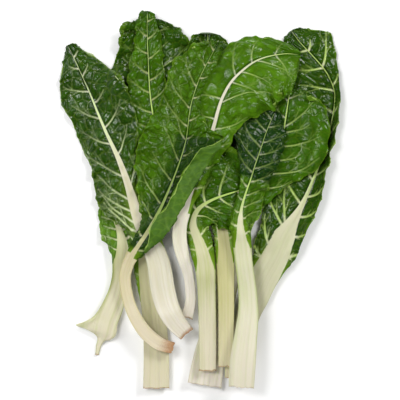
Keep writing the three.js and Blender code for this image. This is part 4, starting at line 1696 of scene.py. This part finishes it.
def leaves() -> list[Leaf]:
    """Describes the bunch.

    Returns:
        Its leaves, from the lowest to the highest.
    """
    dark = LeafFinish(
        deep=(12, 36, 3),
        fresh=(44, 80, 12),
        painted_shade=(16, 46, 16),
        back=(56, 80, 40),
        stalk=(210, 206, 186),
        streak=(186, 190, 144),
        gloss=0.16,
        shine=0.3,
        rims=0.2,
        seed=1.0,
    )
    front = replace(
        dark,
        young=(122, 154, 46),
        vein=(196, 212, 152),
        stalk=(210, 206, 188),
        streak=(190, 184, 138),
        shade=(190, 180, 166),
        gloss=0.24,
        shine=0.4,
        rims=0.15,
        streaks=0.4,
        browning=4.0,
    )
    bright = LeafFinish(
        deep=(30, 66, 5),
        fresh=(80, 124, 14),
        stalk=(222, 217, 202),
        streak=(198, 196, 160),
        shade=(184, 172, 164),
        rims=0.1,
        streaks=0.3,
        browning=1.5,
        seed=3.0,
    )
    folded = LeafFinish(
        deep=(18, 46, 3),
        fresh=(70, 112, 12),
        stalk=(208, 198, 168),
        streak=(186, 176, 118),
        bruise=(158, 108, 62),
        rims=0.1,
        browning=15.0,
        seed=7.0,
    )
    return [
        Leaf(
            "right_leaf",
            Slot.DARK,
            replace(dark, stalk=(206, 202, 176)),
            seed=11,
            veins=Venation(
                laterals((75, -22, 67, 10), (81, -22, 85, 15), (62, -45, 65, -15)),
                spacing=24,
                width=0.6,
                bold=0.9,
            ),
            midrib=Midrib(slim=0.4, pale=(1.6, 6.0)),
            pitch=1.05,
        ),
        Leaf(
            "right_inner_leaf",
            Slot.MID,
            LeafFinish(stalk=(220, 214, 200), rims=0.3, browning=0.4, seed=2.0),
            seed=12,
            veins=Venation(
                laterals((88, 73, 115, 100), (88, 66, 110, 75), (86, 52, 120, 63), (84, 36, 100, 45)),
            ),
            midrib=Midrib(slim=0.3, pale=(3.0, 7.0)),
            blisters=Blisters(size=8.0, height=0.8, swell=2.6),
        ),
        Leaf(
            "back_left_leaf",
            Slot.DARK,
            replace(dark, stalk=(200, 195, 160), streak=(182, 182, 128)),
            seed=13,
            pitch=1.05,
        ),
        Leaf(
            "back_left_inner_leaf",
            Slot.BRIGHT,
            LeafFinish(deep=(20, 48, 3), fresh=(66, 110, 10), stalk=(198, 192, 150), seed=8.0),
            seed=14,
            midrib=Midrib(slim=0.2, pale=(4.5, 6.0)),
            pitch=1.0,
        ),
        Leaf(
            "back_middle_leaf",
            Slot.DARK,
            replace(dark, stalk=(194, 189, 142), streak=(172, 170, 106)),
            seed=15,
            pitch=1.1,
        ),
        Leaf(
            "curled_leaf",
            Slot.MID,
            LeafFinish(rims=0.6, browning=1.5, seed=4.0),
            seed=16,
            veins=Venation(
                laterals(
                    (5, -6, 22, -14),
                    (-2, -17, 16, -22),
                    (-4, -10, -8, 20),
                    (5, -3, 8, 32),
                    (20, 2, 30, 35),
                ),
                width=0.42,
            ),
            midrib=Midrib(slim=0.4, pale=(2.2, 6.5), young=70),
        ),
        Leaf(
            "bent_leaf",
            Slot.MID,
            LeafFinish(
                deep=(28, 64, 6),
                fresh=(74, 116, 14),
                # painted shade colour of the blade past the bend
                painted_shade=(10, 40, 16),
                stalk=(212, 208, 184),
                streak=(188, 194, 140),
                rims=0.6,
                browning=0.4,
                seed=5.0,
            ),
            seed=17,
            veins=Venation(spacing=15),
            midrib=Midrib(slim=0.28, pale=(2.6, 5.5)),
            # the blade past the bend is painted in shade
            painted_shade_from=212,
        ),
        Leaf(
            "low_left_leaf",
            Slot.MID,
            LeafFinish(
                deep=(44, 82, 10),
                fresh=(100, 142, 36),
                young=(130, 160, 64),
                vein=(204, 216, 162),
                stalk=(206, 202, 170),
                rims=0.9,
                seed=6.0,
            ),
            seed=18,
            veins=Venation(spacing=11, width=0.4, bold=1.0),
            midrib=Midrib(bare=75, young=110),
        ),
        Leaf(
            "arched_leaf",
            Slot.BRIGHT,
            bright,
            seed=19,
            veins=Venation(
                laterals(
                    (42, 128, 75, 113),
                    (58, 140, 97, 126),
                    (21, 98, 80, 103),
                    (32, 118, 65, 104),
                    (22, 100, -3, 105),
                    (15, 80, -10, 85),
                    (10, 60, -10, 70),
                ),
                spacing=22,
            ),
            midrib=Midrib(slim=0.35),
            blisters=Blisters(size=9.0, height=0.7, swell=3.0),
        ),
        Leaf(
            "front_left_leaf",
            Slot.DARK,
            front,
            seed=20,
            veins=Venation(
                laterals(
                    (-102, 81, -130, 95),
                    (-90, 56, -122, 70),
                    (-79, 23, -119, 50),
                    (-72, 0, -104, 24),
                    (-69, -12, -103, 10),
                    (-66, -24, -100, 4),
                    (-64, -35, -97, -3),
                    (-62, -44, -93, -20),
                    (-107, 97, -97, 110),
                    (-96, 72, -80, 100),
                    (-84, 45, -74, 75),
                    (-73, 15, -63, 50),
                ),
                spacing=24,
                width=0.36,
                bold=1.3,
            ),
            midrib=Midrib(slim=0.56, pale=(1.4, 4.6), young=100),
            blisters=Blisters(size=9.0, height=2.0, swell=3.2),
        ),
        Leaf(
            "folded_leaf",
            Slot.BRIGHT,
            folded,
            seed=21,
            veins=Venation(laterals((-20, 38, -37, 78), (-27, 18, -48, 48), (-14, 60, -24, 88)), spacing=20),
            midrib=Midrib(slim=0.12, pale=(5.0, 6.2), young=20),
            blisters=Blisters(size=7.5, height=1.8, swell=1.7, follow=0.0),
            margin=Margin(curl=3.5),
        ),
    ]


# ---------------------------------------------------------------------------------------------------
# Studio
# ---------------------------------------------------------------------------------------------------


@dataclass
class Studio:
    """The pale table, the soft lamps and the camera that looks straight down."""

    frame_width: float = 0.4  # of the picture, at the height of the pile's middle
    pile_height: float = 0.018
    camera_height: float = 1.9
    centre: tuple[float, float] = (-0.0002, -0.0008)
    floor_size: float = 8.0
    floor_height: float = -0.0004
    sensor: float = 36.0
    sky: float = 0.18

    LAMPS = (  # name, place, size, power, and whether leaves mirror it
        ("key_lamp", (1.1, 1.1, 1.25), 0.7, 25.0, True),
        ("fill_lamp", (-1.5, 0.45, 1.1), 0.9, 11.0, False),
        ("low_lamp", (-0.3, -1.6, 1.1), 0.9, 11.0, False),
        ("sky_lamp", (-0.7, 0.5, 1.8), 0.6, 17.0, True),
    )

    def build(self) -> None:
        """Makes the floor, the camera, the lamps and the sky."""
        self._floor()
        self._camera()
        for lamp in self.LAMPS:
            self._lamp(*lamp)
        world = bpy.data.worlds.new("studio")
        world.use_nodes = True
        back = world.node_tree.nodes["Background"]
        back.inputs["Color"].default_value = (1.0, 1.0, 1.0, 1.0)
        back.inputs["Strength"].default_value = self.sky
        world.cycles_visibility.glossy = False
        bpy.context.scene.world = world
        bpy.context.scene.view_settings.view_transform = "Standard"

    def _floor(self) -> None:
        """Adds the table top, far wider than the view."""
        bpy.ops.object.select_all(action="DESELECT")
        bpy.ops.mesh.primitive_plane_add(size=self.floor_size, location=(0, 0, self.floor_height))
        floor = bpy.context.object
        floor.name = "floor"
        graph = Graph("pale_table")
        spot = graph.node("ShaderNodeTexCoord").outputs["Object"]
        grey = graph.step(graph.noise(spot, 3.0), 0.2, 0.8)
        graph.skin(graph.mix(grey, (0.93, 0.93, 0.93, 1), (0.95, 0.95, 0.95, 1)), roughness=0.9, shine=0.1)
        floor.data.materials.append(graph.material)

    def _camera(self) -> None:
        """Hangs the camera over the bunch."""
        lens = bpy.data.cameras.new("camera")
        lens.sensor_width = self.sensor
        lens.lens = self.sensor * (self.camera_height - self.pile_height) / self.frame_width
        camera = bpy.data.objects.new("camera", lens)
        camera.location = (*self.centre, self.camera_height)
        bpy.context.scene.collection.objects.link(camera)
        bpy.context.scene.camera = camera

    @staticmethod
    def _lamp(name: str, place: tuple[float, float, float], size: float, power: float, glints: bool) -> None:
        """Adds a square soft lamp that points at the bunch.

        Args:
            name: Its name.
            place: Where it stands, in metres.
            size: Its side, in metres.
            power: Its power, in watts.
            glints: Whether the leaves mirror it.
        """
        source = bpy.data.lights.new(name, "AREA")
        source.shape = "SQUARE"
        source.size = size
        source.energy = power
        lamp = bpy.data.objects.new(name, source)
        lamp.location = place
        lamp.rotation_euler = (-lamp.location).to_track_quat("-Z", "Y").to_euler()
        lamp.visible_glossy = glints
        bpy.context.scene.collection.objects.link(lamp)


def main() -> None:
    """Builds the bunch on its table and reports each piece."""
    logging.basicConfig(level=logging.INFO, format="%(name)s: %(message)s")
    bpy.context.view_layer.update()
    Studio().build()
    heap = Heap()
    for leaf in leaves():
        piece = leaf.build(heap)
        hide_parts(leaf.node)
        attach(piece, BODY)
        LOG.info("%s: %d faces", piece.name, len(piece.data.polygons))


if __name__ == "__main__":
    main()
